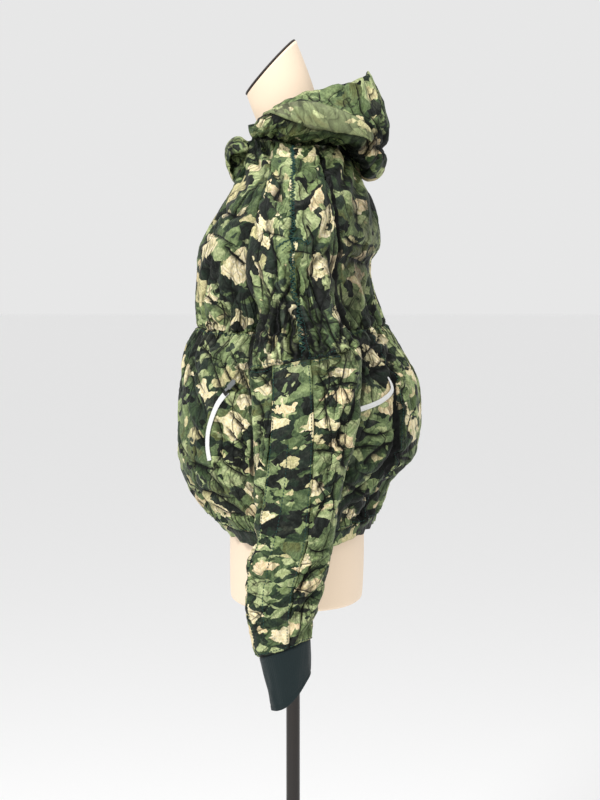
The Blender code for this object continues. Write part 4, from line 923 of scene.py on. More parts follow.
FRONT_SIDE_CREASES = [
    ((-0.046, 1.340), (-0.060, 1.310), (-0.064, 1.290), 0.0036, 0.0030),
    ((-0.120, 1.262), (-0.100, 1.256), (-0.070, 1.236), 0.0036, 0.0038),
    ((-0.128, 1.248), (-0.112, 1.215), (-0.086, 1.180), 0.0050, -0.0034),
    ((-0.132, 1.222), (-0.110, 1.190), (-0.080, 1.150), 0.0038, 0.0036),
    ((-0.136, 1.200), (-0.124, 1.172), (-0.094, 1.140), 0.0040, -0.0030),
    ((-0.128, 1.180), (-0.108, 1.160), (-0.082, 1.122), 0.0032, 0.0038),
    ((-0.100, 1.190), (-0.080, 1.170), (-0.066, 1.130), 0.0034, 0.0034),
    ((-0.132, 1.150), (-0.116, 1.140), (-0.100, 1.128), 0.0030, 0.0032),
    ((-0.148, 1.100), (-0.140, 1.070), (-0.120, 1.040), 0.0040, 0.0034),
    ((-0.120, 1.108), (-0.110, 1.072), (-0.094, 1.040), 0.0034, 0.0036),
    ((-0.090, 1.112), (-0.076, 1.080), (-0.068, 1.052), 0.0034, 0.0034),
    ((-0.150, 1.030), (-0.136, 1.000), (-0.132, 0.960), 0.0050, -0.0036),
    ((-0.110, 1.020), (-0.100, 0.975), (-0.112, 0.935), 0.0040, 0.0036),
    ((-0.076, 1.020), (-0.070, 0.970), (-0.080, 0.920), 0.0044, 0.0040),
    ((-0.140, 0.944), (-0.112, 0.925), (-0.086, 0.900), 0.0040, 0.0038),
    ((-0.120, 0.905), (-0.090, 0.890), (-0.060, 0.874), 0.0036, 0.0036),
    ((-0.131, 1.116), (-0.118, 1.096), (-0.095, 1.086), 0.0030, 0.0036),
    ((-0.148, 1.069), (-0.139, 1.042), (-0.125, 1.008), 0.0034, 0.0040),
    ((-0.152, 1.021), (-0.136, 0.994), (-0.118, 0.951), 0.0034, 0.0042),
    ((-0.090, 1.024), (-0.071, 1.001), (-0.049, 0.986), 0.0028, 0.0036),
    ((-0.095, 1.001), (-0.076, 0.981), (-0.057, 0.965), 0.0028, 0.0036),
    ((-0.106, 0.961), (-0.085, 0.940), (-0.057, 0.930), 0.0030, 0.0042),
    ((-0.095, 0.981), (-0.074, 0.965), (-0.055, 0.958), 0.0026, 0.0030),
    ((-0.151, 0.947), (-0.125, 0.938), (-0.095, 0.943), 0.0034, 0.0042),
    ((-0.139, 0.913), (-0.109, 0.900), (-0.071, 0.902), 0.0034, 0.0042),
    ((-0.117, 0.889), (-0.091, 0.879), (-0.060, 0.873), 0.0030, 0.0036),
    ((-0.076, 1.082), (-0.063, 1.055), (-0.055, 1.021), 0.0030, 0.0040),
    ((-0.106, 1.100), (-0.090, 1.069), (-0.068, 1.042), 0.0030, 0.0040),
]
BACK_SIDE_CREASES = [
    ((0.085, 1.328), (0.094, 1.290), (0.088, 1.250), 0.0040, 0.0034),
    ((0.100, 1.300), (0.108, 1.270), (0.110, 1.240), 0.0044, -0.0036),
    ((0.070, 1.262), (0.088, 1.246), (0.108, 1.244), 0.0060, 0.0050),
    ((0.072, 1.230), (0.090, 1.222), (0.106, 1.216), 0.0050, 0.0048),
    ((0.080, 1.205), (0.096, 1.180), (0.094, 1.150), 0.0040, -0.0036),
    ((0.068, 1.200), (0.076, 1.170), (0.078, 1.140), 0.0036, 0.0040),
    ((0.100, 1.190), (0.112, 1.160), (0.120, 1.136), 0.0036, 0.0036),
    ((0.090, 1.150), (0.104, 1.130), (0.130, 1.122), 0.0034, 0.0036),
    ((0.110, 1.115), (0.126, 1.090), (0.150, 1.070), 0.0040, 0.0038),
    ((0.096, 1.110), (0.106, 1.080), (0.118, 1.050), 0.0036, 0.0036),
    ((0.130, 1.060), (0.146, 1.030), (0.150, 0.980), 0.0050, -0.0036),
    ((0.120, 1.000), (0.130, 0.960), (0.122, 0.920), 0.0040, 0.0040),
    ((0.150, 0.960), (0.140, 0.925), (0.116, 0.895), 0.0040, 0.0040),
    ((0.126, 0.920), (0.106, 0.895), (0.082, 0.878), 0.0036, 0.0036),
    ((0.139, 1.109), (0.144, 1.035), (0.144, 0.981), 0.0044, 0.0072),
    ((0.144, 0.981), (0.136, 0.940), (0.120, 0.906), 0.0044, 0.0070),
    ((0.120, 0.906), (0.105, 0.879), (0.082, 0.852), 0.0040, 0.0060),
    ((0.129, 1.116), (0.124, 1.089), (0.105, 1.073), 0.0034, 0.0042),
    ((0.156, 1.100), (0.150, 1.073), (0.140, 1.046), 0.0050, -0.0042),
    ((0.162, 1.073), (0.154, 1.042), (0.151, 1.015), 0.0030, 0.0042),
    ((0.180, 0.968), (0.162, 0.957), (0.142, 0.951), 0.0050, 0.0068),
    ((0.094, 0.994), (0.116, 0.986), (0.140, 0.992), 0.0034, 0.0042),
    ((0.078, 0.965), (0.099, 0.971), (0.125, 0.970), 0.0034, 0.0042),
    ((0.086, 0.940), (0.108, 0.929), (0.126, 0.935), 0.0034, 0.0042),
    ((0.067, 0.900), (0.086, 0.904), (0.108, 0.921), 0.0030, 0.0036),
    ((0.080, 0.879), (0.094, 0.893), (0.116, 0.902), 0.0030, 0.0036),
    ((0.0905, 1.110), (0.0890, 1.058), (0.0745, 0.968), 0.0050, 0.0064),
    ((0.0760, 0.978), (0.0680, 0.935), (0.0600, 0.895), 0.0050, 0.0064),
]
FRONT_CREASES = [
    ((-0.060, 1.330), (-0.050, 1.290), (-0.070, 1.240), 0.0050, 0.0036),
    ((0.056, 1.322), (0.066, 1.290), (0.060, 1.232), 0.0050, 0.0036),
    ((-0.110, 1.270), (-0.070, 1.255), (-0.030, 1.262), 0.0044, 0.0032),
    ((0.020, 1.268), (0.060, 1.250), (0.110, 1.262), 0.0044, 0.0034),
    ((-0.130, 1.220), (-0.100, 1.190), (-0.090, 1.140), 0.0050, 0.0040),
    ((0.120, 1.226), (0.096, 1.190), (0.094, 1.140), 0.0046, 0.0040),
    ((-0.030, 1.235), (-0.036, 1.190), (-0.020, 1.140), 0.0050, -0.0034),
    ((0.036, 1.220), (0.028, 1.180), (0.044, 1.136), 0.0046, 0.0040),
    ((-0.060, 1.190), (-0.052, 1.160), (-0.062, 1.120), 0.0036, 0.0036),
    ((0.004, 1.190), (0.000, 1.160), (0.006, 1.120), 0.0036, 0.0036),
    ((-0.140, 1.110), (-0.120, 1.075), (-0.126, 1.040), 0.0040, 0.0036),
    ((-0.060, 1.108), (-0.052, 1.070), (-0.064, 1.030), 0.0040, 0.0038),
    ((0.020, 1.108), (0.030, 1.072), (0.020, 1.036), 0.0040, 0.0038),
    ((0.080, 1.110), (0.094, 1.075), (0.088, 1.030), 0.0040, 0.0036),
    ((-0.150, 0.990), (-0.110, 0.960), (-0.070, 0.962), 0.0050, 0.0038),
    ((0.060, 1.000), (0.090, 0.960), (0.130, 0.950), 0.0050, 0.0038),
    ((-0.040, 0.940), (0.000, 0.925), (0.050, 0.940), 0.0050, 0.0036),
    ((-0.100, 0.905), (-0.060, 0.893), (-0.020, 0.886), 0.0040, 0.0036),
    ((0.030, 0.892), (0.070, 0.894), (0.110, 0.910), 0.0040, 0.0036),
]
BACK_CREASES = [
    ((-0.060, 1.330), (-0.066, 1.290), (-0.056, 1.250), 0.0050, 0.0036),
    ((0.050, 1.335), (0.058, 1.290), (0.050, 1.246), 0.0050, 0.0036),
    ((-0.120, 1.250), (-0.080, 1.236), (-0.040, 1.240), 0.0060, 0.0044),
    ((-0.010, 1.236), (0.040, 1.226), (0.100, 1.240), 0.0060, 0.0044),
    ((-0.090, 1.200), (-0.096, 1.170), (-0.084, 1.138), 0.0044, 0.0040),
    ((-0.030, 1.205), (-0.020, 1.170), (-0.030, 1.140), 0.0044, -0.0036),
    ((0.030, 1.200), (0.022, 1.165), (0.034, 1.136), 0.0044, 0.0040),
    ((0.090, 1.205), (0.098, 1.175), (0.088, 1.140), 0.0044, 0.0040),
    ((-0.110, 1.100), (-0.096, 1.060), (-0.104, 1.010), 0.0044, 0.0038),
    ((-0.040, 1.104), (-0.050, 1.060), (-0.036, 1.010), 0.0044, 0.0038),
    ((0.030, 1.104), (0.020, 1.060), (0.030, 1.006), 0.0044, 0.0038),
    ((0.100, 1.100), (0.110, 1.060), (0.096, 1.014), 0.0044, 0.0038),
    ((-0.120, 0.950), (-0.070, 0.930), (-0.020, 0.936), 0.0050, 0.0040),
    ((0.010, 0.930), (0.060, 0.926), (0.120, 0.944), 0.0050, 0.0040),
    ((-0.080, 0.905), (-0.040, 0.894), (0.000, 0.900), 0.0040, 0.0034),
]
HOOD_CREASES = [
    ((-0.020, 1.402), (-0.008, 1.418), (0.010, 1.424), 0.0030, 0.0030),
    ((0.020, 1.396), (0.034, 1.412), (0.050, 1.416), 0.0030, 0.0032),
    ((0.060, 1.392), (0.076, 1.402), (0.092, 1.404), 0.0032, 0.0034),
    ((0.096, 1.380), (0.110, 1.390), (0.120, 1.410), 0.0034, 0.0036),
    ((-0.058, 1.3995), (-0.033, 1.391), (-0.011, 1.387), 0.0030, 0.0050),
    ((-0.050, 1.412), (-0.032, 1.408), (-0.016, 1.402), 0.0040, -0.0026),
]


# Long folds of the side view, with painted shade at the bottom: points (y, z), then half the width of their dark
# painted line.
BODY_RUNS = [
    (((0.138, 1.112), (0.138, 1.096), (0.137, 1.073), (0.140, 1.050), (0.147, 1.013), (0.149, 0.995),
      (0.148, 0.981), (0.145, 0.958), (0.132, 0.924), (0.114, 0.885), (0.098, 0.869), (0.081, 0.857)), 0.0024),
    (((0.092, 1.061), (0.112, 1.072), (0.127, 1.078), (0.133, 1.086), (0.136, 1.102)), 0.0014),
    (((0.093, 1.091), (0.105, 1.101), (0.120, 1.113), (0.128, 1.121)), 0.0010),
    (((0.098, 0.946), (0.107, 0.958), (0.125, 0.969), (0.141, 0.976)), 0.0014),
    (((0.071, 0.922), (0.085, 0.913), (0.102, 0.899), (0.116, 0.892)), 0.0012),
    (((0.145, 0.955), (0.154, 0.948), (0.165, 0.946)), 0.0026),
    (((-0.102, 1.295), (-0.081, 1.286), (-0.060, 1.288)), 0.0008),
    (((-0.093, 1.244), (-0.081, 1.230), (-0.065, 1.216)), 0.0010),
]
SLEEVE_RUNS = [
    (((0.018, 1.271), (0.029, 1.251), (0.034, 1.231)), 0.0008),
    (((-0.022, 1.189), (-0.035, 1.146), (-0.048, 1.111)), 0.0014),
    (((0.003, 1.201), (-0.016, 1.162), (-0.024, 1.123), (-0.028, 1.100)), 0.0015),
    (((0.003, 1.151), (-0.002, 1.118), (0.003, 1.100)), 0.0010),
    (((0.020, 1.217), (0.031, 1.179), (0.039, 1.151), (0.035, 1.111)), 0.0015),
    (((0.050, 1.245), (0.047, 1.217), (0.059, 1.174), (0.066, 1.140), (0.060, 1.104)), 0.0018),
    (((0.066, 1.200), (0.074, 1.172), (0.080, 1.140), (0.078, 1.112)), 0.0014),
    (((-0.013, 1.341), (-0.021, 1.316), (-0.024, 1.304)), 0.0009),
]
LOWER_SLEEVE_RUNS = [
    (((0.049, 1.060), (0.060, 1.062), (0.071, 1.064), (0.086, 1.062)), 0.0012),
    (((0.073, 1.051), (0.080, 1.054), (0.083, 1.037), (0.077, 1.015), (0.062, 1.005), (0.060, 0.985),
      (0.068, 0.976), (0.067, 0.960), (0.071, 0.950)), 0.0012),
]


def plane(lines, kind):
    """Creases given in a plane as points in space."""
    made = []
    for start, middle, end, width, depth in lines:
        if kind in ("left", "right"):
            made.append(tuple((0.0, p[0], p[1]) for p in (start, middle, end)) + (width, depth))
        else:
            made.append(tuple((p[0], 0.0, p[1]) for p in (start, middle, end)) + (width, depth))
    return made


# ------------------------------------------------------------------ the pieces
def zip_line(path):
    share = np.linspace(0, len(path) - 1, 60)
    u, v = np.moveaxis(along(path, share), -1, 0)
    return body(u, v)


def seam_paths():
    """The curves of the raglan, waist and elbow seams, in space."""
    rows = np.linspace(1.0, 6.0, 90)
    front = body(np.full(90, ARMHOLE[0]), rows)
    back = body(np.full(90, ARMHOLE[1]), rows)
    u = np.linspace(-180, 180, 400)
    waist = body(u, np.full(400, 8.0))
    q = np.linspace(-180, 180, 160)
    elbow = sleeve(q, np.full(160, 9.0))
    return dict(front=front, back=back, waist=waist, elbow=elbow)


SEAMS = seam_paths()


def sleeve_side(sign):
    """Outline of the sleeve seen from its side: heights and how far back or forward it reaches."""
    q, r = np.meshgrid(sign * np.linspace(20, 160, 60), np.linspace(4.5, 16, 80), indexing="ij")
    p = sleeve(q, r)
    k = np.argmax(sign * p[..., 1], axis=0)
    edge = p[k, np.arange(p.shape[1])]
    order = np.argsort(edge[:, 2])
    return edge[order, 2], edge[order, 1]


REAR_Z, REAR_Y = sleeve_side(1)
FORE_Z, FORE_Y = sleeve_side(-1)


def beside_sleeve(piece):
    """The body's cloth just behind the sleeve lies in its shadow, and some of it just before."""
    y, z = piece.base[..., 1], piece.base[..., 2]
    d = y - np.interp(z, REAR_Z, REAR_Y) + 0.003 * noise(piece.base, 0.03, 91)
    out = np.abs(piece.out[..., 0])
    there = np.clip((z - 0.955) / 0.05, 0, 1) * np.clip((1.255 - z) / 0.03, 0, 1) * (out > 0.15)
    depth = 0.55 + 0.45 * np.clip((z - 1.03) / 0.05, 0, 1)
    piece.darken(d > -0.03, (0.90 * depth * there * np.exp(-((np.maximum(d, 0) / 0.0120) ** 2)))[d > -0.03])
    ahead = np.interp(z, FORE_Z, FORE_Y) - y + 0.004 * noise(piece.base, 0.03, 95)
    some = np.clip((z - 0.90) / 0.05, 0, 1) * np.clip((1.225 - z) / 0.04, 0, 1) * (out > 0.15)
    some = some * np.clip(0.7 + 0.9 * noise(piece.base, 0.06, 96), 0, 1)
    piece.darken(ahead > -0.03, (0.70 * some * np.exp(-((np.maximum(ahead, 0) / 0.0090) ** 2)))[ahead > -0.03])
    near = (np.abs(ahead) < 0.010) & (some > 0)
    piece.draw(near, np.ones(int(near.sum())), np.maximum(np.abs(ahead[near] - 0.0030) - 0.0024, 0), some[near])
    band = (np.abs(d) < 0.012) & (there > 0) & (z > 1.02)
    piece.draw(band, np.ones(int(band.sum())), np.maximum(np.abs(d[band] - 0.0040) - 0.0040, 0), there[band] * depth[band])


def flap_spots():
    """Points along the lower edge of the hood where it hangs over the shoulders and back."""
    q, s = np.meshgrid(np.linspace(-60, 90, 90), np.linspace(0.2, 3.0, 20), indexing="ij")
    p = hood(q, s).reshape(-1, 3)
    return np.concatenate([p, p * [-1, 1, 1]])


FLAP = flap_spots()


def body_piece(name, low, high, first, last, marks, rows, seed, skip=None, at=None):
    at = 0.5 * (first + last) if at is None else at
    a = even(lambda t: body(t, np.full(t.shape, float(at))), marks)
    middle = 0.5 * (low + high)
    b = even(lambda t: body(np.full(t.shape, float(middle)), t), rows)
    u, v = np.meshgrid(a, b, indexing="ij")
    piece = Cloth(name, body, a, b, normals(body, u, v), skip=skip)
    for side, lines in (("left", FRONT_SIDE_CREASES + BACK_SIDE_CREASES), ("right", FRONT_SIDE_CREASES + BACK_SIDE_CREASES)):
        piece.crease(plane(lines, side), side)
    piece.crease(plane(FRONT_CREASES, "front"), "front")
    piece.crease(plane(BACK_CREASES, "back"), "back")
    for points, half in BODY_RUNS:
        piece.run(points, half)
    if first < 15:
        piece.wrinkle(0.030, 0.150, 0.0038, seed + 200, lean=0.12)
        piece.wrinkle(0.018, 0.120, 0.0018, seed + 230, lean=0.60, weight=0.7)
        piece.wrinkle(0.018, 0.120, 0.0018, seed + 260, lean=-0.50, weight=0.7)
    for flip in (1, -1):
        if last == 8:
            piece.trough(SEAMS["front"] * [flip, 1, 1], 0.0036, 0.0024, 0.7, 0.0004, 0.30)
            piece.trough(SEAMS["back"] * [flip, 1, 1], 0.0060, 0.0056, 1.2, 0.0062, 0.75)
    if last == 8 or first == 8:
        piece.trough(SEAMS["waist"], 0.0055, 0.0030)
    beside_sleeve(piece)
    if last == 8:
        # Painted shade along the neck seam, under the hood's hanging edge, and in three soft patches on the upper back.
        neck = piece.t[None, :] + 0 * piece.a
        piece.shade = np.maximum(piece.shade, 0.85 * fade(neck, 0.040, 1.0) * (1 + 0.5 * noise(piece.base, 0.012, 92)))
        piece.contact(FLAP, 0.018, 0.80)
        for middle_y, middle_z, tall, amount in ((0.104, 1.275, 0.055, 1.0), (0.102, 1.225, 0.050, 0.95), (0.084, 1.160, 0.060, 0.85)):
            round_z = (piece.base[..., 2] - middle_z) / tall
            round_y = (piece.base[..., 1] - middle_y) / (0.028 if tall < 0.06 else 0.016)
            dim = np.exp(-(round_z**2) - round_y**2) * (1 + 0.6 * noise(piece.base, 0.03, 93))
            piece.shade = np.maximum(piece.shade, amount * dim * (np.abs(piece.out[..., 0]) > 0.1))
    piece.offset -= 0.0020 * np.clip(piece.seam / 0.010, 0, 1)
    if last == 8 or first == 8:
        height = piece.base[..., 2]
        piece.offset -= 0.0030 * fade(height - 1.140, 0.060) * np.clip(piece.out[..., 1], 0, 1)
    for path, wide in ((POCKET_ZIP, 0.0050), (REAR_ZIP, 0.0047)):
        line = zip_line(path)
        for flip in (1, -1):
            if np.min(np.linalg.norm(piece.base[::3, ::3, None] - (line[::4] * [flip, 1, 1])[None, None], axis=-1)) < 0.02:
                piece.recess(line * [flip, 1, 1], wide, 0.0004, 0.0022)
    return piece


def make_body():
    front, back = ARMHOLE

    def front_skip(u, v):
        return ((v < UNDERARM) & ((u > front) | (u < -180 - front))) | ((v < SHOULDER) & (np.abs(u + 90) < 16))

    def back_skip(u, v):
        return (v < UNDERARM) & ((u < back) | (u > 180 - back))

    marks = (-180, -180 - front, -106, -74, front, 0)
    c = body_piece("front_upper", -180, 0, 0, 8, marks, (0, 2, 6, 8), 1, front_skip, at=7.2)
    waist = c.t[-1] - c.t[None, :] + 0 * c.a
    c.gather(fade(waist, 0.085), "b", 0.017, 0.13, 0.0030, seed=1)
    c.gather(fade(waist, 0.035), "b", 0.008, 0.10, 0.0016, stretch=4, seed=2)
    neck = c.t[None, :] + 0 * c.a
    c.gather(fade(neck, 0.050), "b", 0.010, 0.12, 0.0026, seed=5)
    c.free[np.isclose(c.b, 2) & (np.abs(c.a + 90) < 16)] = 0.5
    yield c, dict(seed=1)
    c = body_piece("back_upper", 0, 180, 0, 8, (0, back, 90, 180 - back, 180), (0, 2, 6, 8), 2, back_skip, at=7.2)
    waist = c.t[-1] - c.t[None, :] + 0 * c.a
    c.gather(fade(waist, 0.085), "b", 0.018, 0.13, 0.0032, seed=3)
    c.gather(fade(c.t[None, :] + 0 * c.a, 0.050), "b", 0.010, 0.12, 0.0026, seed=6)
    c.gather(fade(waist, 0.035), "b", 0.008, 0.10, 0.0016, stretch=4, seed=4)
    yield c, dict(seed=2)
    for name, low, high, marks, seed in (
        ("front_lower", -180, 0, (-180, -90, 0), 3),
        ("side_lower_L", 0, BACK_SEAM, (0, BACK_SEAM), 4),
        ("side_lower_R", 180 - BACK_SEAM, 180, (180 - BACK_SEAM, 180), 5),
        ("back_lower", BACK_SEAM, 180 - BACK_SEAM, (BACK_SEAM, 90, 180 - BACK_SEAM), 6),
    ):
        c = body_piece(name, low, high, 8, 15, marks, (8, 15), seed)
        below = c.t[None, :] + 0 * c.a
        above = c.t[-1] - below
        c.gather(fade(below, 0.080), "b", 0.016, 0.13, 0.0028, seed=seed + 10)
        c.gather(fade(below, 0.032), "b", 0.0075, 0.10, 0.0015, stretch=4, seed=seed + 20)
        c.gather(fade(above, 0.055), "b", 0.013, 0.12, 0.0024, seed=seed + 30)
        yield c, dict(seed=seed)
    for name, low, high, seed in (("hem_front", -180, 0, 7), ("hem_back", 0, 180, 8)):
        c = body_piece(name, low, high, 15, 16, (low, 0.5 * (low + high), high), (15, 16), seed)
        c.gather(0.5 + 0 * c.a, "b", 0.012, 0.04, 0.0010, seed=seed + 40)
        c.low, c.high = -0.0030, 0.0022
        c.calm = 0.45 + 0 * c.a
        c.free[:, -1] = 0.25
        yield c, dict(seed=seed, rough=0.0010)


def make_sleeve(side, mirror):
    seed = 50 if mirror else 20
    for half, sign, edge in (("front", -1, ARMHOLE[0]), ("back", 1, ARMHOLE[1])):
        a = even(lambda t: sleeve(t, np.full(t.shape, 7.5)), (-180, -HEAD_ANGLE, 0) if sign < 0 else (0, HEAD_ANGLE, 180))
        b = even(lambda t: sleeve(np.full(t.shape, sign * 60.0), t), (0, UNDERARM, 9))
        q, r = np.meshgrid(a, b, indexing="ij")
        out = normals(sleeve, q, r)
        row = int(np.argmin(np.abs(a - sign * HEAD_ANGLE)))
        upto = int(np.argmin(np.abs(b - UNDERARM)))
        out[row, :upto] = normals(body, np.full(upto, edge), b[:upto])
        c = Cloth(f"sleeve_upper_{half}_{side}", sleeve, a, b, out, mirror, skip=lambda q, r: (np.abs(q) > HEAD_ANGLE) & (r < UNDERARM))
        c.grain = 1.15 * sign
        c.crease(plane(SLEEVE_CREASES, "left"), "right" if mirror else "left")
        c.crease(plane(FRONT_CREASES, "front"), "front")
        c.crease(plane(BACK_CREASES, "back"), "back")
        for points, half in SLEEVE_RUNS:
            c.run(points, half)
        c.wrinkle(0.026, 0.150, 0.0038, seed + 200, lean=0.10 * sign)
        c.wrinkle(0.016, 0.110, 0.0014, seed + 230, lean=0.45, weight=0.6)
        c.wrinkle(0.016, 0.110, 0.0014, seed + 260, lean=-0.45, weight=0.6)
        c.trough(SEAMS["front"], 0.0036, 0.0024)
        c.trough(SEAMS["back"], 0.0060, 0.0056, 1.2, 0.0018)
        c.trough(SEAMS["elbow"], 0.0040, 0.0003)
        # Painted shade under the hood's hanging edge and along the neck seam.
        c.contact(FLAP * ([-1, 1, 1] if mirror else [1, 1, 1]), 0.012, 0.65)
        c.shade = np.maximum(c.shade, 0.85 * fade(c.t[None, :] + 0 * c.a, 0.036, 1.0) * (1 + 0.5 * noise(c.base, 0.012, 92)))
        # Painted shade along the back of the sleeve, where its cloth turns to face backwards.
        rim = np.clip((0.40 - np.abs(c.out[..., 0])) / 0.40, 0, 1) * (c.out[..., 1] > 0)
        c.shade = np.maximum(c.shade, 0.72 * rim * np.clip((c.b - 3.0) / 2.0, 0, 1))
        c.offset -= 0.0010 * np.clip(c.seam / 0.010, 0, 1)
        z = c.base[..., 2]
        elbow = c.t[-1] - c.t[None, :] + 0 * c.a
        c.gather(fade(z - 1.155, 0.085, 1.0), "b", 0.015, 0.12, 0.0036, seed=seed)
        c.gather(fade(z - 1.150, 0.080, 1.0), "b", 0.0075, 0.08, 0.0018, stretch=4, seed=seed + 9)
        c.gather(fade(z - 1.120, 0.055), "a", 0.016, 0.07, 0.0024, stretch=3, seed=seed + 1)
        c.gather(fade(elbow, 0.040), "b", 0.008, 0.12, 0.0022, stretch=4, seed=seed + 2)
        c.gather(fade(c.t[None, :] + 0 * c.a, 0.055), "b", 0.009, 0.12, 0.0024, stretch=4, seed=seed + 3)
        c.gather(fade(z - 1.239, 0.016) * np.clip(np.cos(np.radians(c.a)), 0, 1), "b", 0.008, 0.10, 0.0016, seed=seed + 4)
        yield c, dict(seed=seed + 5)

    def wrapped(share, row):
        return sleeve(strip_angle(share, row), row)

    cut = STRIP_COLUMNS / AROUND_SLEEVE
    b = even(lambda t: sleeve(np.full(t.shape, 0.0), t), (9, 18))
    for name, marks in (("sleeve_lower", (cut, 1.0)), ("sleeve_strip", (0.0, cut))):
        a = even(lambda t: wrapped(t, np.full(t.shape, 11.0)), marks)
        s, r = np.meshgrid(a, b, indexing="ij")
        c = Cloth(f"{name}_{side}", wrapped, a, b, normals(sleeve, strip_angle(s, r), r), mirror)
        below = c.t[None, :] + 0 * c.a
        above = c.t[-1] - below
        c.print_scale = 1.60
        c.trough(SEAMS["elbow"], 0.0040, 0.0003)
        # Painted shade along the back of the sleeve, where its cloth turns to face backwards, and in a ragged band just
        # under the elbow seam.
        rim = np.clip((0.30 - np.abs(c.out[..., 0])) / 0.30, 0, 1) * (c.out[..., 1] > 0)
        c.shade = np.maximum(c.shade, 0.45 * rim)
        under_seam = fade(below, 0.034, 1.0) * np.clip(0.75 + 1.3 * noise(c.base, (0.016, 0.016, 0.034), 96), 0, 1.2)
        c.shade = np.maximum(c.shade, 0.72 * under_seam)
        if name == "sleeve_lower":
            c.crease(plane(LOWER_SLEEVE_CREASES, "left"), "right" if mirror else "left")
            for points, half in LOWER_SLEEVE_RUNS:
                c.run(points, half)
            c.wrinkle(0.026, 0.130, 0.0036, seed + 210, lean=0.15)
            c.wrinkle(0.016, 0.100, 0.0016, seed + 240, lean=0.70, weight=0.7)
            c.wrinkle(0.016, 0.100, 0.0016, seed + 270, lean=-0.70, weight=0.7)
            c.gather(fade(below, 0.060), "b", 0.011, 0.12, 0.0026, seed=seed + 6)
            c.gather(fade(above, 0.055), "b", 0.013, 0.11, 0.0024, seed=seed + 7)
            c.gather(fade(above - 0.09, 0.06), "a", 0.018, 0.05, 0.0018, stretch=3, seed=seed + 8)
        else:
            z = c.base[..., 2]
            low_end = np.clip((0.855 - z) / 0.04, 0, 1)
            c.calm = 0.22 + 0.5 * fade(z - 0.77, 0.075) + 0.35 * fade(below, 0.02) + 0.2 * low_end
            c.wrinkle(0.015, 0.050, 0.0030, seed + 330, lean=1.25, weight=1.1 * low_end)
            c.wrinkle(0.011, 0.040, 0.0022, seed + 350, lean=-1.05, weight=0.9 * low_end)
            c.low, c.high = -0.003, 0.002
        yield c, dict(seed=seed + 9 + (name == "sleeve_strip"), rough=0.0008)


def hood_lowered(angle, s):
    """The hood's bag with its sewn edge tucked inside the neck seam."""
    p = hood(angle, s)
    tuck = np.clip(-s / 0.16, 0, 1)
    p[..., 2] -= 0.004 * tuck
    p[..., :2] *= (1 - 0.016 * tuck)[..., None]
    return p


def facing(s, w):
    """Inside of the fallen collar corner: from its edge back to the edge of the neck opening."""
    s, w = np.broadcast_arrays(np.asarray(s, float), np.asarray(w, float))
    outer = lapel(s, 0 * w)
    inner = body(np.full(s.shape, -74.5), np.clip(2.05 - s / 3.0, 0.02, 2.1))
    inner = inner + [0.0, 0.004, 0.0]
    sag = np.sin(np.pi * w)
    p = outer * (1 - w[..., None]) + inner * w[..., None]
    p[..., 0] += 0.006 * sag
    p[..., 2] -= 0.003 * sag
    return p


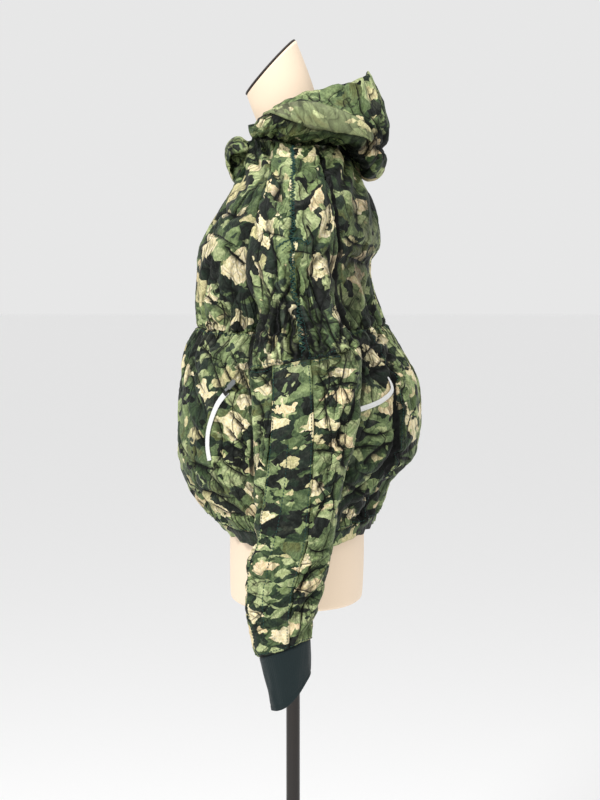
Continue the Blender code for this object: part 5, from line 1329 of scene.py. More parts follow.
def make_hood(side, mirror):
    seed = 80 if mirror else 70
    a = even(lambda t: hood(t, np.full(t.shape, 3.0)), (-72, 90))
    b = even(lambda t: hood(np.full(t.shape, 10.0), t), (0.0, 7))
    b = np.concatenate([[-0.16, -0.12, -0.08, -0.04], b])
    q, s = np.meshgrid(a, b, indexing="ij")
    out = normals(hood, q, np.maximum(s, 0.03), -1.0)
    c = Cloth("hood_" + side, hood_lowered, a, b, out, mirror)
    c.crease(plane(HOOD_CREASES, "left"), "right" if mirror else "left")
    z = c.base[..., 2]
    behind = np.clip((c.a - 38) / 26, 0, 1)
    c.wrinkle(0.024, 0.060, 0.0036, seed + 200, lean=0.2)
    c.wrinkle(0.014, 0.040, 0.0020, seed + 230, lean=-0.5)
    # Painted shade under the hem band and along the neck seam.
    edge = np.interp(c.a, [row[0] for row in BRIM_ROWS], [row[2] for row in BRIM_ROWS])
    under = np.clip((c.a + 34) / 10, 0, 1) * np.clip((60 - c.a) / 10, 0, 1)
    c.shade = np.maximum(c.shade, 0.95 * under * np.exp(-((np.minimum(c.b - edge - 0.10, 0) / 0.80) ** 2)) * (c.b < edge + 1.0))
    c.shade = np.maximum(c.shade, 0.90 * fade(c.t[None, :] + 0 * c.a, 0.030, 1.0) * (1 + 0.5 * noise(c.base, 0.012, 92)))
    c.offset += 0.0080 * behind * np.exp(-(((c.b - 1.2) / 0.8) ** 2))
    # Painted shade low at the back of the hood, and dark painted shade in the gathers behind the neck.
    c.shade = np.maximum(c.shade, 0.45 * np.clip((c.a - 30) / 20, 0, 1) * np.clip((3.2 - c.b) / 1.5, 0, 1))
    gathers = np.exp(-(((z - 1.388) / 0.017) ** 2)) * np.clip((c.base[..., 1] - 0.060) / 0.020, 0, 1)
    c.shade = np.maximum(c.shade, 0.90 * gathers * (1 + 0.7 * noise(c.base, (0.010, 0.010, 0.022), 95)))
    c.run(((0.0820, 1.3740), (0.0890, 1.3560), (0.0970, 1.3430), (0.1060, 1.3340)), 0.0018, 0.0040)
    c.run(((0.1220, 1.3700), (0.1120, 1.3600), (0.1040, 1.3480)), 0.0008, 0.0022)
    c.offset -= 0.0100 * np.exp(-(((z - 1.3815) / 0.0050) ** 2)) * behind * (c.b > 2.6)
    c.offset += 0.0022 * np.exp(-(((z - 1.3680) / 0.0060) ** 2)) * behind * (c.b > 2.3)
    c.offset += 0.0030 * np.exp(-(((z - 1.415) / 0.014) ** 2)) * behind * (c.b > 3.4)
    neck = c.t[None, :] + 0 * c.a
    c.gather(fade(neck, 0.050), "b", 0.011, 0.14, 0.0030, seed=seed)
    c.gather(fade(neck, 0.028), "b", 0.006, 0.10, 0.0016, stretch=4, seed=seed + 1)
    c.gather(behind * fade(z - 1.395, 0.040), "b", 0.009, 0.12, 0.0024, stretch=4, seed=seed + 6)
    c.low, c.high = -0.0070, 0.0050
    c.free[:, -1] = 0.5
    yield c, dict(seed=seed + 2, low_edge=5)
    a = even(lambda t: brim(t, np.full(t.shape, 0.5)), (-26, 52))
    b = even(lambda t: brim(np.full(t.shape, 0.0), t), (0, 1))
    q, w = np.meshgrid(a, b, indexing="ij")
    c = Cloth("hood_hem_" + side, brim, a, b, normals(brim, q, w), mirror)
    c.calm = 0.65 + 0 * c.a
    c.wrinkle(0.030, 0.012, 0.0012, seed + 300, lean=0.3)
    c.low, c.high = -0.0025, 0.0016
    yield c, dict(seed=seed + 3, rough=0.0010)
    a = even(lambda t: lapel(t, np.full(t.shape, 0.5)), (0, 6), 0.0020)
    b = even(lambda t: lapel(np.full(t.shape, 3.0), t), (0, 1), 0.0020)
    s, w = np.meshgrid(a, b, indexing="ij")
    out = normals(lapel, s, w, 1.0)
    centre = np.array([0.0, -0.079, 1.372])
    if np.mean(np.sum(out[:, 0] * (lapel(s, w)[:, 0] - centre) * [0, 1, 1], -1)) < 0:
        out = -out
    c = Cloth("collar_corner_" + side, lapel, a, b, out, mirror)
    c.calm = 0.8 + 0 * c.a
    c.wrinkle(0.014, 0.030, 0.0020, seed + 310, lean=0.3)
    c.low, c.high = -0.0035, 0.0025
    c.free[:, -1] = 0.5
    yield c, dict(seed=seed + 4, rough=0.0010)
    a = even(lambda t: facing(t, np.full(t.shape, 0.5)), (0, 6))
    b = even(lambda t: facing(np.full(t.shape, 3.0), t), (0, 1))
    s, w = np.meshgrid(a, b, indexing="ij")
    out = normals(facing, s, w, 1.0)
    if np.mean(out[..., 0]) < 0:
        out = -out
    c = Cloth("collar_facing_" + side, facing, a, b, out, mirror)
    c.low, c.high = -0.003, 0.003
    yield c, dict(seed=seed + 5, rough=0.0012)


# ------------------------------------------------------------------ materials
def srgb(r, g, b):
    def one(c):
        c /= 255
        return c / 12.92 if c <= 0.04045 else ((c + 0.055) / 1.055) ** 2.4
    return (one(r), one(g), one(b), 1.0)


class Nodes:
    """Short calls that add and join shader nodes."""

    def __init__(self, name):
        self.mat = bpy.data.materials.new(name)
        self.mat.use_nodes = True
        self.tree = self.mat.node_tree
        self.tree.nodes.clear()
        self.shader = self.node("ShaderNodeBsdfPrincipled")
        end = self.node("ShaderNodeOutputMaterial")
        self.join(self.shader.outputs["BSDF"], end.inputs["Surface"])

    def node(self, kind, **settings):
        made = self.tree.nodes.new(kind)
        for key, value in settings.items():
            setattr(made, key, value)
        return made

    def join(self, a, b):
        self.tree.links.new(a, b)

    def give(self, socket, value):
        if isinstance(value, bpy.types.NodeSocket):
            self.join(value, socket)
        else:
            socket.default_value = value

    def math(self, operation, a, b=0.0, c=0.0, clamp=False):
        made = self.node("ShaderNodeMath", operation=operation, use_clamp=clamp)
        for socket, value in zip(made.inputs, (a, b, c)):
            self.give(socket, value)
        return made.outputs[0]

    def vector(self, operation, a, b=(0, 0, 0), scale=None):
        made = self.node("ShaderNodeVectorMath", operation=operation)
        self.give(made.inputs[0], a)
        self.give(made.inputs[1], b)
        if scale is not None:
            self.give(made.inputs["Scale"], scale)
        return made.outputs[0]

    def noise(self, vector, scale, detail=2.0, roughness=0.5, colour=False, kind="FBM"):
        made = self.node("ShaderNodeTexNoise", noise_type=kind)
        self.give(made.inputs["Vector"], vector)
        made.inputs["Scale"].default_value = scale
        made.inputs["Detail"].default_value = detail
        made.inputs["Roughness"].default_value = roughness
        return made.outputs["Color" if colour else 0]

    def voronoi(self, vector, scale, output="Color", feature="F1", spread=1.0, metric="EUCLIDEAN"):
        made = self.node("ShaderNodeTexVoronoi", feature=feature, distance=metric)
        self.give(made.inputs["Vector"], vector)
        made.inputs["Scale"].default_value = scale
        made.inputs["Randomness"].default_value = spread
        return made.outputs[output]

    def ramp(self, value, stops, mode="CONSTANT"):
        made = self.node("ShaderNodeValToRGB")
        made.color_ramp.interpolation = mode
        while len(made.color_ramp.elements) < len(stops):
            made.color_ramp.elements.new(0.5)
        for element, (place, colour) in zip(made.color_ramp.elements, stops):
            element.position, element.color = place, colour
        self.give(made.inputs[0], value)
        return made.outputs[0]

    def mix(self, share, a, b, blend="MIX"):
        made = self.node("ShaderNodeMix", data_type="RGBA", blend_type=blend)
        self.give(made.inputs[0], share)
        self.give(made.inputs[6], a)
        self.give(made.inputs[7], b)
        return made.outputs[2]

    def attribute(self, name, output="Vector"):
        return self.node("ShaderNodeAttribute", attribute_name=name).outputs[output]

    def step(self, value, low, high, clamp=True):
        made = self.node("ShaderNodeMapRange", clamp=clamp, interpolation_type="SMOOTHSTEP")
        for socket, number in zip(made.inputs, (value, low, high, 0.0, 1.0)):
            self.give(socket, number)
        return made.outputs[0]


CREAM, PEACH, BUFF = (236, 220, 186), (228, 206, 172), (202, 190, 150)
SAGE, SPRING, MID = (170, 177, 134), (131, 145, 102), (94, 109, 75)
OLIVE, LEAF, DARK = (92, 96, 60), (58, 74, 50), (34, 46, 37)
CHAR, SLATE, INK = (33, 37, 34), (50, 60, 52), (17, 20, 18)


def camouflage(name, tint=1.0, light=0.0, crinkle=1.0):
    """Brushed woodland patches from noise functions, on crinkled nylon, with painted shade and highlight along its
    folds.
    """
    n = Nodes(name)
    flat = n.attribute("print")
    cloth = n.attribute("flat")
    wander = n.vector("SUBTRACT", n.noise(flat, 15, 1.5, 0.5, colour=True), (0.5, 0.5, 0.5))
    jag = n.vector("SUBTRACT", n.noise(flat, 52, 2.0, 0.5, colour=True), (0.5, 0.5, 0.5))
    place = n.vector("ADD", flat, n.vector("SCALE", wander, scale=0.034))
    place = n.vector("ADD", place, n.vector("SCALE", jag, scale=0.0150))

    # The ground: large cells, each brushed in its own direction from one tone to another.
    cell = n.voronoi(n.vector("MULTIPLY", place, (0.76, 1.18, 1.0)), 23)
    parts = n.node("ShaderNodeSeparateColor")
    n.join(cell, parts.inputs[0])
    pick, second, third = parts.outputs
    turn = n.node("ShaderNodeVectorRotate", rotation_type="Z_AXIS")
    n.join(n.vector("ADD", flat, n.vector("SCALE", wander, scale=0.030)), turn.inputs["Vector"])
    n.give(turn.inputs["Angle"], n.math("MULTIPLY", second, 3.14))
    brush = n.vector("MULTIPLY", turn.outputs[0], (34, 120, 60))
    strokes = n.noise(brush, 1.0, 3, 0.55)
    first = n.ramp(pick, [
        (0.00, srgb(*SAGE)), (0.16, srgb(*MID)), (0.32, srgb(*DARK)), (0.46, srgb(*SPRING)),
        (0.60, srgb(*CHAR)), (0.72, srgb(*OLIVE)), (0.84, srgb(*LEAF)),
    ])
    other = n.ramp(pick, [
        (0.00, srgb(*SPRING)), (0.16, srgb(*LEAF)), (0.32, srgb(*CHAR)), (0.46, srgb(*MID)),
        (0.60, srgb(*INK)), (0.72, srgb(*MID)), (0.84, srgb(*DARK)),
    ])
    colour = n.mix(n.step(strokes, 0.34, 0.62), first, other)

    # Leaf-like daubs over it: islands with ragged tips, some soft, some hard-edged.
    def daubs(colour, shift, size, stretch, limit, share, tones, soft=0.03, lobes=0.16):
        spot = n.vector("ADD", n.vector("ADD", flat, shift), n.vector("SCALE", wander, scale=0.045))
        spot = n.vector("MULTIPLY", n.vector("ADD", spot, n.vector("SCALE", jag, scale=0.018)), stretch)
        chosen = n.node("ShaderNodeSeparateColor")
        n.join(n.voronoi(spot, size, metric="MANHATTAN"), chosen.inputs[0])
        far = n.voronoi(spot, size, "Distance", metric="MANHATTAN")
        tooth = n.noise(n.vector("ADD", flat, shift), 88, 1.2, 0.5)
        far = n.math("ADD", far, n.math("MULTIPLY", n.math("SUBTRACT", tooth, 0.5), lobes * 1.8))
        inside = n.math("MULTIPLY", n.step(far, limit, limit - soft), n.math("LESS_THAN", chosen.outputs[1], share))
        tone = n.ramp(chosen.outputs[0], [(at, srgb(*c)) for at, c in tones])
        side = n.mix(n.step(strokes, 0.36, 0.66), tone, n.mix(1.0, tone, (0.74, 0.78, 0.68, 1), "MULTIPLY"))
        return n.mix(inside, colour, side)

    colour = daubs(colour, (1.7, 0.4, 0), 23, (0.78, 1.22, 1.0), 0.58, 0.42, [(0.0, DARK), (0.30, CHAR), (0.56, MID), (0.80, LEAF)])
    colour = daubs(colour, (0.2, 2.9, 0), 30, (0.78, 1.24, 1.0), 0.58, 0.60, [(0.0, SAGE), (0.42, SPRING), (0.66, MID), (0.86, SLATE)], 0.12)
    colour = daubs(colour, (3.1, 1.3, 0), 17.5, (0.76, 1.26, 1.0), 0.60, 0.62, [(0.0, CREAM), (0.52, PEACH), (0.84, BUFF)], 0.02, 0.18)
    colour = daubs(colour, (0.9, 3.7, 0), 40, (0.80, 1.24, 1.0), 0.55, 0.24, [(0.0, INK), (0.30, DARK), (0.55, BUFF), (0.75, SAGE)], 0.02)
    colour = daubs(colour, (2.3, 1.9, 0), 58, (0.60, 1.40, 1.0), 0.56, 0.22, [(0.0, SLATE), (0.35, LEAF), (0.65, SPRING), (0.85, CHAR)], 0.10)

    # Uneven ink.
    wash = n.noise(flat, 46, 4, 0.6)
    colour = n.mix(n.math("MULTIPLY", n.step(wash, 0.50, 0.80), 0.16), colour, n.mix(0.5, colour, srgb(196, 202, 170)))
    fine = n.noise(brush, 4.0, 3, 0.62)
    colour = n.mix(0.36, colour, n.ramp(fine, [(0.28, (0.22, 0.25, 0.20, 1)), (0.72, (0.80, 0.80, 0.75, 1))], "LINEAR"), "OVERLAY")
    grain = n.noise(n.vector("MULTIPLY", flat, (1.0, 0.72, 1.0)), 380, 2.0, 0.6)
    colour = n.mix(0.38, colour, n.ramp(grain, [(0.38, (0.20, 0.22, 0.19, 1)), (0.62, (0.82, 0.82, 0.78, 1))], "LINEAR"), "OVERLAY")
    if light:
        colour = n.mix(light, colour, srgb(196, 198, 152))

    # Less light beside and under other cloth.
    colour = n.mix(n.math("MULTIPLY", n.attribute("shade", "Fac"), 0.80), colour, srgb(10, 13, 10))

    # Painted shade where the cloth dips, painted highlight where it stands proud, and beside each fold line painted
    # shade on one side and a painted highlight on the other.
    hollow = n.attribute("hollow", "Fac")
    deep = n.step(hollow, 0.05, 0.55)
    proud = n.step(hollow, -0.05, -0.5)
    colour = n.mix(n.math("MULTIPLY", deep, 0.78), colour, srgb(8, 11, 8))
    folded = shaded = lifted = None
    for k in range(FOLD_SETS):
        pair = n.node("ShaderNodeSeparateXYZ")
        n.join(n.attribute(f"fold{k}"), pair.inputs[0])
        far, power = pair.outputs[0], pair.outputs[1]
        line = n.math("MULTIPLY", n.step(n.math("ABSOLUTE", far), 0.135, 0.030), power)
        low = n.math("MULTIPLY", n.math("MULTIPLY", n.step(far, -0.60, 0.0), n.step(far, 0.06, 0.0)), power)
        high = n.math("MULTIPLY", n.math("MULTIPLY", n.step(far, 0.50, 0.14), n.step(far, 0.03, 0.12)), power)
        folded = line if folded is None else n.math("MAXIMUM", folded, line)
        shaded = low if shaded is None else n.math("MAXIMUM", shaded, low)
        lifted = high if lifted is None else n.math("MAXIMUM", lifted, high)
    colour = n.mix(n.math("MULTIPLY", lifted, 0.42), colour, n.mix(1.0, colour, (1.45, 1.45, 1.40, 1), "MULTIPLY"))
    colour = n.mix(n.math("MULTIPLY", shaded, 0.62), colour, srgb(7, 9, 7))
    colour = n.mix(n.math("MULTIPLY", proud, 0.40), colour, n.mix(1.0, colour, (1.42, 1.42, 1.38, 1), "MULTIPLY"))
    seam = n.step(n.attribute("seam", "Fac"), 0.0030, 0.0004)
    colour = n.mix(n.math("MULTIPLY", seam, 0.12), colour, srgb(20, 25, 20))
    # Fine creases of the crinkled cloth: thin lines of painted shade, and soft facets between them.
    lines, height = None, None
    for angle, size, reach, width, depth in ((0.12, (66, 9, 40), 0.010, 0.036, 1.0), (0.70, (105, 15, 60), 0.008, 0.034, 0.55), (-0.6, (110, 16, 60), 0.008, 0.034, 0.55)):
        tilt = n.node("ShaderNodeVectorRotate", rotation_type="Z_AXIS")
        n.join(n.vector("ADD", cloth, n.vector("SCALE", jag, scale=reach)), tilt.inputs["Vector"])
        tilt.inputs["Angle"].default_value = angle
        value = n.math("ABSOLUTE", n.math("SUBTRACT", n.noise(n.vector("MULTIPLY", tilt.outputs[0], size), 1.0, 1.0, 0.45), 0.5))
        there = n.step(n.noise(n.vector("ADD", cloth, (angle, 3.1, 0)), size[1] * 1.5, 1, 0.5), 0.44, 0.58)
        line = n.math("MULTIPLY", n.step(value, width, 0.003), there) if angle < 0.3 and angle > 0 else n.math("MULTIPLY", n.math("MULTIPLY", n.step(value, width, 0.003), there), 0.5)
        rise = n.math("MULTIPLY", n.math("MULTIPLY", n.math("MINIMUM", value, 0.11), depth * 6), n.math("MULTIPLY_ADD", there, 0.75, 0.25))
        lines = line if lines is None else n.math("MAXIMUM", lines, n.math("MULTIPLY", line, 0.85))
        height = rise if height is None else n.math("ADD", height, rise)
    colour = n.mix(n.math("MULTIPLY", lines, 0.72 * crinkle), colour, srgb(9, 12, 9))
    # Painted shade: a near-black line along each fold line.
    colour = n.mix(n.math("MULTIPLY", folded, 0.92, clamp=True), colour, srgb(6, 8, 6))
    n.join(colour, n.shader.inputs["Base Color"])

    bump = n.node("ShaderNodeBump")
    bump.inputs["Strength"].default_value = 0.8 * crinkle
    bump.inputs["Distance"].default_value = 0.0022
    n.join(height, bump.inputs["Height"])
    n.join(bump.outputs[0], n.shader.inputs["Normal"])
    n.shader.inputs["Roughness"].default_value = 0.50
    n.shader.inputs["Specular IOR Level"].default_value = 0.12
    return n.mat


def plain(name, colour, roughness, specular=0.5, grain=None, sheen=0.0):
    n = Nodes(name)
    n.shader.inputs["Roughness"].default_value = roughness
    n.shader.inputs["Specular IOR Level"].default_value = specular
    n.shader.inputs["Sheen Weight"].default_value = sheen
    where = n.node("ShaderNodeTexCoord").outputs["Object"]
    scale, height, share = grain or (60.0, 0.00005, 0.06)
    value = n.noise(where, scale, 3, 0.6)
    tone = n.mix(n.math("MULTIPLY", value, share), srgb(*colour), srgb(*(min(255, c * 0.55) for c in colour)))
    n.join(tone, n.shader.inputs["Base Color"])
    bump = n.node("ShaderNodeBump")
    bump.inputs["Strength"].default_value = 0.6
    bump.inputs["Distance"].default_value = height
    n.join(value, bump.inputs["Height"])
    n.join(bump.outputs[0], n.shader.inputs["Normal"])
    return n.mat


NYLON = camouflage("crinkled_camouflage_nylon")
BRIM = camouflage("hood_band_nylon", light=0.24, crinkle=0.7)
STRIP = camouflage("strip_nylon", crinkle=0.6)
KNIT_DARK = plain("dark_teal_knit", (20, 36, 38), 0.85, 0.2, (900, 0.0004, 0.5), 0.3)
TAPE = plain("white_zip_tape", (226, 226, 224), 0.7, 0.3, (700, 0.0002, 0.15))
SLIDER = plain("black_enamelled_slider", (20, 20, 20), 0.30, 0.5, (300, 0.00002, 0.3))
TAB = plain("grey_metal_tab", (104, 108, 108), 0.38, 0.5, (400, 0.00002, 0.2))
JERSEY = plain("beige_form_cover", (246, 224, 198), 0.80, 0.2, (1400, 0.0001, 0.10), 0.15)
TRIM = plain("dark_neck_trim", (42, 33, 26), 0.55, 0.4, (500, 0.0001, 0.4))
POLE = plain("dark_brown_pole", (26, 18, 12), 0.32, 0.5, (200, 0.00001, 0.3))
FOOT = plain("dark_painted_foot", (30, 24, 20), 0.40, 0.5, (250, 0.00003, 0.3))
THREAD = plain("dark_teal_thread", (26, 66, 60), 0.6, 0.3, (1500, 0.0001, 0.4))
PIPING = plain("pale_piping", (206, 206, 186), 0.7, 0.3, (600, 0.0001, 0.3))


# ------------------------------------------------------------------ building it
def cloth_pieces():
    for piece, how in make_body():
        yield piece, NYLON, "camouflage_nylon", how
    for side, mirror in (("L", False), ("R", True)):
        for piece, how in make_sleeve(side, mirror):
            yield piece, STRIP if "strip" in piece.name else NYLON, "camouflage_nylon", how
        for piece, how in make_hood(side, mirror):
            if "hem" in piece.name:
                yield piece, BRIM, "hood_band", how
            else:
                yield piece, NYLON, "camouflage_nylon", how


for piece, material, slot, how in cloth_pieces():
    piece.finish(material, slot, **how)
    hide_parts(piece.name.replace("facing", "corner"))


# ------------------------------------------------------------------ stitches
def stitch_row(name, piece, at_a, at_b, pitch=0.0042, length=0.0031, size=0.00062, lift=0.0005, across=0.0):
    """Small rounded stitches along a line on a finished piece, given by its grid parameters."""
    p = piece.points
    a_values, b_values = piece.a[:, 0], piece.b[0]
    i = np.interp(at_a, a_values, np.arange(len(a_values)))
    j = np.interp(at_b, b_values, np.arange(len(b_values)))

    def sample(field, i, j):
        i0 = np.clip(i.astype(int), 0, field.shape[0] - 2)
        j0 = np.clip(j.astype(int), 0, field.shape[1] - 2)
        u, v = (i - i0)[:, None], (j - j0)[:, None]
        return (
            field[i0, j0] * (1 - u) * (1 - v) + field[i0 + 1, j0] * u * (1 - v)
            + field[i0, j0 + 1] * (1 - u) * v + field[i0 + 1, j0 + 1] * u * v
        )

    line = sample(p, i, j)
    up = sample(piece.out, i, j)
    run = np.concatenate([[0], np.cumsum(np.linalg.norm(np.diff(line, axis=0), axis=1))])
    count = int(run[-1] / pitch)
    if count < 2:
        return [], []
    points, faces = [], []
    rng = np.random.default_rng(len(name) * 7 + count)
    for k in range(count):
        middle = (k + 0.5) * pitch + rng.uniform(-0.0002, 0.0002)
        ends = []
        for t in (-0.5, -0.25, 0.25, 0.5):
            s = middle + t * length
            c = np.array([np.interp(s, run, line[:, m]) for m in range(3)])
            n = np.array([np.interp(s, run, up[:, m]) for m in range(3)])
            ends.append((c, n / np.linalg.norm(n)))
        ahead = ends[3][0] - ends[0][0]
        far = np.linalg.norm(ahead)
        if far < 1e-5:
            continue
        ahead = ahead / far
        start = len(points)
        for (c, n), fat, up_by in zip(ends, (0.45, 1.0, 1.0, 0.45), (-0.0001, lift, lift, -0.0001)):
            side = np.cross(n, ahead)
            side = side / max(np.linalg.norm(side), 1e-9)
            for m in range(4):
                turn = math.pi / 4 + m * math.pi / 2
                points.append(c + side * across + n * up_by + size * fat * (side * math.cos(turn) + n * math.sin(turn)))
        for r in range(3):
            for m in range(4):
                q = (m + 1) % 4
                faces.append((start + r * 4 + m, start + r * 4 + q, start + (r + 1) * 4 + q, start + (r + 1) * 4 + m))
        faces.append((start + 3, start + 2, start + 1, start))
        faces.append((start + 12, start + 13, start + 14, start + 15))
    return points, faces


def ladder(name, piece_pairs, pitch=0.0036, wide=0.0076, size=0.00075):
    """A cover stitch over a seam: a thread that crosses it to and fro, lifted off the cloth."""
    points, faces = [], []
    for piece, at_a, at_b in piece_pairs:
        a_values, b_values = piece.a[:, 0], piece.b[0]
        i = np.interp(at_a, a_values, np.arange(len(a_values)))
        j = np.interp(at_b, b_values, np.arange(len(b_values)))
        i0, j0 = np.clip(i.astype(int), 0, len(a_values) - 1), np.clip(j.astype(int), 0, len(b_values) - 1)
        line3, up3 = piece.points[i0, j0], piece.out[i0, j0]
        soft = np.ones(5) / 5
        line3 = np.stack([np.convolve(np.pad(line3[:, m], 2, "edge"), soft, "valid") for m in range(3)], -1)
        run = np.concatenate([[0], np.cumsum(np.linalg.norm(np.diff(line3, axis=0), axis=1))])
        count = int(run[-1] / pitch)
        rng = np.random.default_rng(count)
        last = None
        for k in range(count + 1):
            s = min(k * pitch + rng.uniform(-0.0004, 0.0004), run[-1])
            c = np.array([np.interp(s, run, line3[:, m]) for m in range(3)])
            c2 = np.array([np.interp(min(s + 0.002, run[-1]), run, line3[:, m]) for m in range(3)])
            n = np.array([np.interp(s, run, up3[:, m]) for m in range(3)])
            n /= np.linalg.norm(n)
            ahead = c2 - c
            if np.linalg.norm(ahead) < 1e-6:
                continue
            ahead /= np.linalg.norm(ahead)
            side = np.cross(n, ahead)
            here = c + side * wide * (0.5 if k % 2 else -0.5) * rng.uniform(0.85, 1.1) + n * 0.0013
            if last is not None:
                for p0, p1 in ((last, here),):
                    way = p1 - p0
                    way /= max(np.linalg.norm(way), 1e-9)
                    u = np.cross(way, n)
                    u /= max(np.linalg.norm(u), 1e-9)
                    w = np.cross(u, way)
                    base = len(points)
                    for q, fat in ((p0, 0.7), (0.5 * (p0 + p1) + n * 0.0004, 1.0), (p1, 0.7)):
                        for m in range(4):
                            t = m * math.pi / 2
                            points.append(q + size * fat * (u * math.cos(t) + w * math.sin(t)))
                    for r in range(2):
                        for m in range(4):
                            q = (m + 1) % 4
                            faces.append((base + r * 4 + m, base + r * 4 + q, base + (r + 1) * 4 + q, base + (r + 1) * 4 + m))
                    faces.append((base + 3, base + 2, base + 1, base))
                    faces.append((base + 8, base + 9, base + 10, base + 11))
            last = here
    mesh = bpy.data.meshes.new(name)
    mesh.from_pydata([tuple(map(float, p)) for p in points], [], faces)
    mesh.update()
    mesh.shade_smooth()
    mesh.materials.append(THREAD)
    obj = bpy.data.objects.new(name, mesh)
    bpy.context.scene.collection.objects.link(obj)
    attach(obj, ROOT)
    return obj


def stitches(name, rows, material=None):
    points, faces = [], []
    for arguments in rows:
        more, quads = stitch_row(name, *arguments[:3], **(arguments[3] if len(arguments) > 3 else {}))
        base = len(points)
        points += more
        faces += [tuple(base + v for v in face) for face in quads]
    if not points:
        return None
    mesh = bpy.data.meshes.new(name)
    mesh.from_pydata([tuple(map(float, p)) for p in points], [], faces)
    mesh.update()
    mesh.shade_smooth()
    mesh.materials.append(material or THREAD)
    obj = bpy.data.objects.new(name, mesh)
    bpy.context.scene.collection.objects.link(obj)
    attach(obj, ROOT)
    return obj


def line(a, b, count=80):
    return np.linspace(a, b, count)


for SIDE in ("L", "R"):
    back = PIECES["sleeve_upper_back_" + SIDE]
    front = PIECES["sleeve_upper_front_" + SIDE]
    lower = PIECES["sleeve_lower_" + SIDE]
    strip = PIECES["sleeve_strip_" + SIDE]
    cut = STRIP_COLUMNS / AROUND_SLEEVE
    full = np.full(80, 1.0)
    ladder("overarm_cover_stitch_" + SIDE, [(back, 0.4 * np.ones(300), np.linspace(0.3, 8.8, 300))])
    ladder("cross_cover_stitch_" + SIDE, [
        (back, np.linspace(1, 38, 120), np.linspace(4.62, 4.86, 120)),
        (front, np.linspace(-30, -1, 120), np.linspace(4.92, 4.64, 120)),
    ], wide=0.0062)
    stitches("overarm_stitches_" + SIDE, [
        (back, 4.0 * full, line(0.3, 8.9)),
        (front, -2.2 * full, line(0.3, 8.9), dict(pitch=0.0050)),
    ])
    stitches("cross_stitches_" + SIDE, [
        (back, line(1, 34), line(4.55, 4.75)),
        (back, line(1, 30), line(4.70, 4.90)),
        (front, line(-26, -1), line(4.85, 4.55)),
        (front, line(-20, -1), line(5.02, 4.70)),
    ])
    stitches("elbow_stitches_" + SIDE, [
        (back, line(2, 34), line(8.90, 8.90)),
        (front, line(-100, -2), line(8.90, 8.90)),
        (lower, line(cut + 0.005, cut + 0.09), line(9.10, 9.10)),
        (lower, line(0.86, 0.995), line(9.10, 9.10)),
        (strip, line(0.004, cut - 0.004), line(9.10, 9.10)),
    ])
    stitches("strip_stitches_" + SIDE, [
        (strip, 0.010 * full, line(9.2, 17.8)),
        (strip, (cut - 0.010) * full, line(9.2, 17.8)),
        (strip, 0.5 * cut * full, line(11.3, 17.0), dict(pitch=0.0046)),
    ])
    stitches("cuff_seam_stitches_" + SIDE, [
        (lower, line(cut + 0.005, 0.60), line(17.86, 17.86)),
        (lower, line(0.60, 0.995), line(17.86, 17.86)),
        (strip, line(0.004, cut - 0.004), line(17.86, 17.86)),
    ])
for name, low, high in (("front_lower", -179, -1), ("side_lower_L", 1, 53), ("side_lower_R", 127, 179), ("back_lower", 55, 125)):
    piece = PIECES[name]
    stitches("hem_stitches_" + name, [(piece, line(low, high, 200), np.full(200, 14.86))])
    stitches("waist_stitches_" + name, [(piece, line(low, high, 200), np.full(200, 8.13))])
stitches("back_seam_stitches", [
    (PIECES["side_lower_L"], np.full(80, 52.6), line(8.2, 14.8)),
    (PIECES["side_lower_R"], np.full(80, 127.4), line(8.2, 14.8)),
])


def simple_object(name, points, faces, material, nodes=(), smooth=True, body_name=ROOT):
    mesh = bpy.data.meshes.new(name)
    mesh.from_pydata([tuple(p) for p in points], [], [tuple(f) for f in faces])
    mesh.update()
    if smooth:
        mesh.shade_smooth()
    mesh.materials.append(material)
    obj = bpy.data.objects.new(name, mesh)
    bpy.context.scene.collection.objects.link(obj)
    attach(obj, body_name)
    if nodes:
        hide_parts(*nodes)
    return obj


# ------------------------------------------------------------------ knitted cuffs
def cuff_surface(a, b):
    points = sleeve_ring(CUFF_ROWS, a, b)
    points[..., 2] += np.interp(b, np.arange(4), CUFF_BOW) * np.sin(np.radians(a)) ** 2
    return points


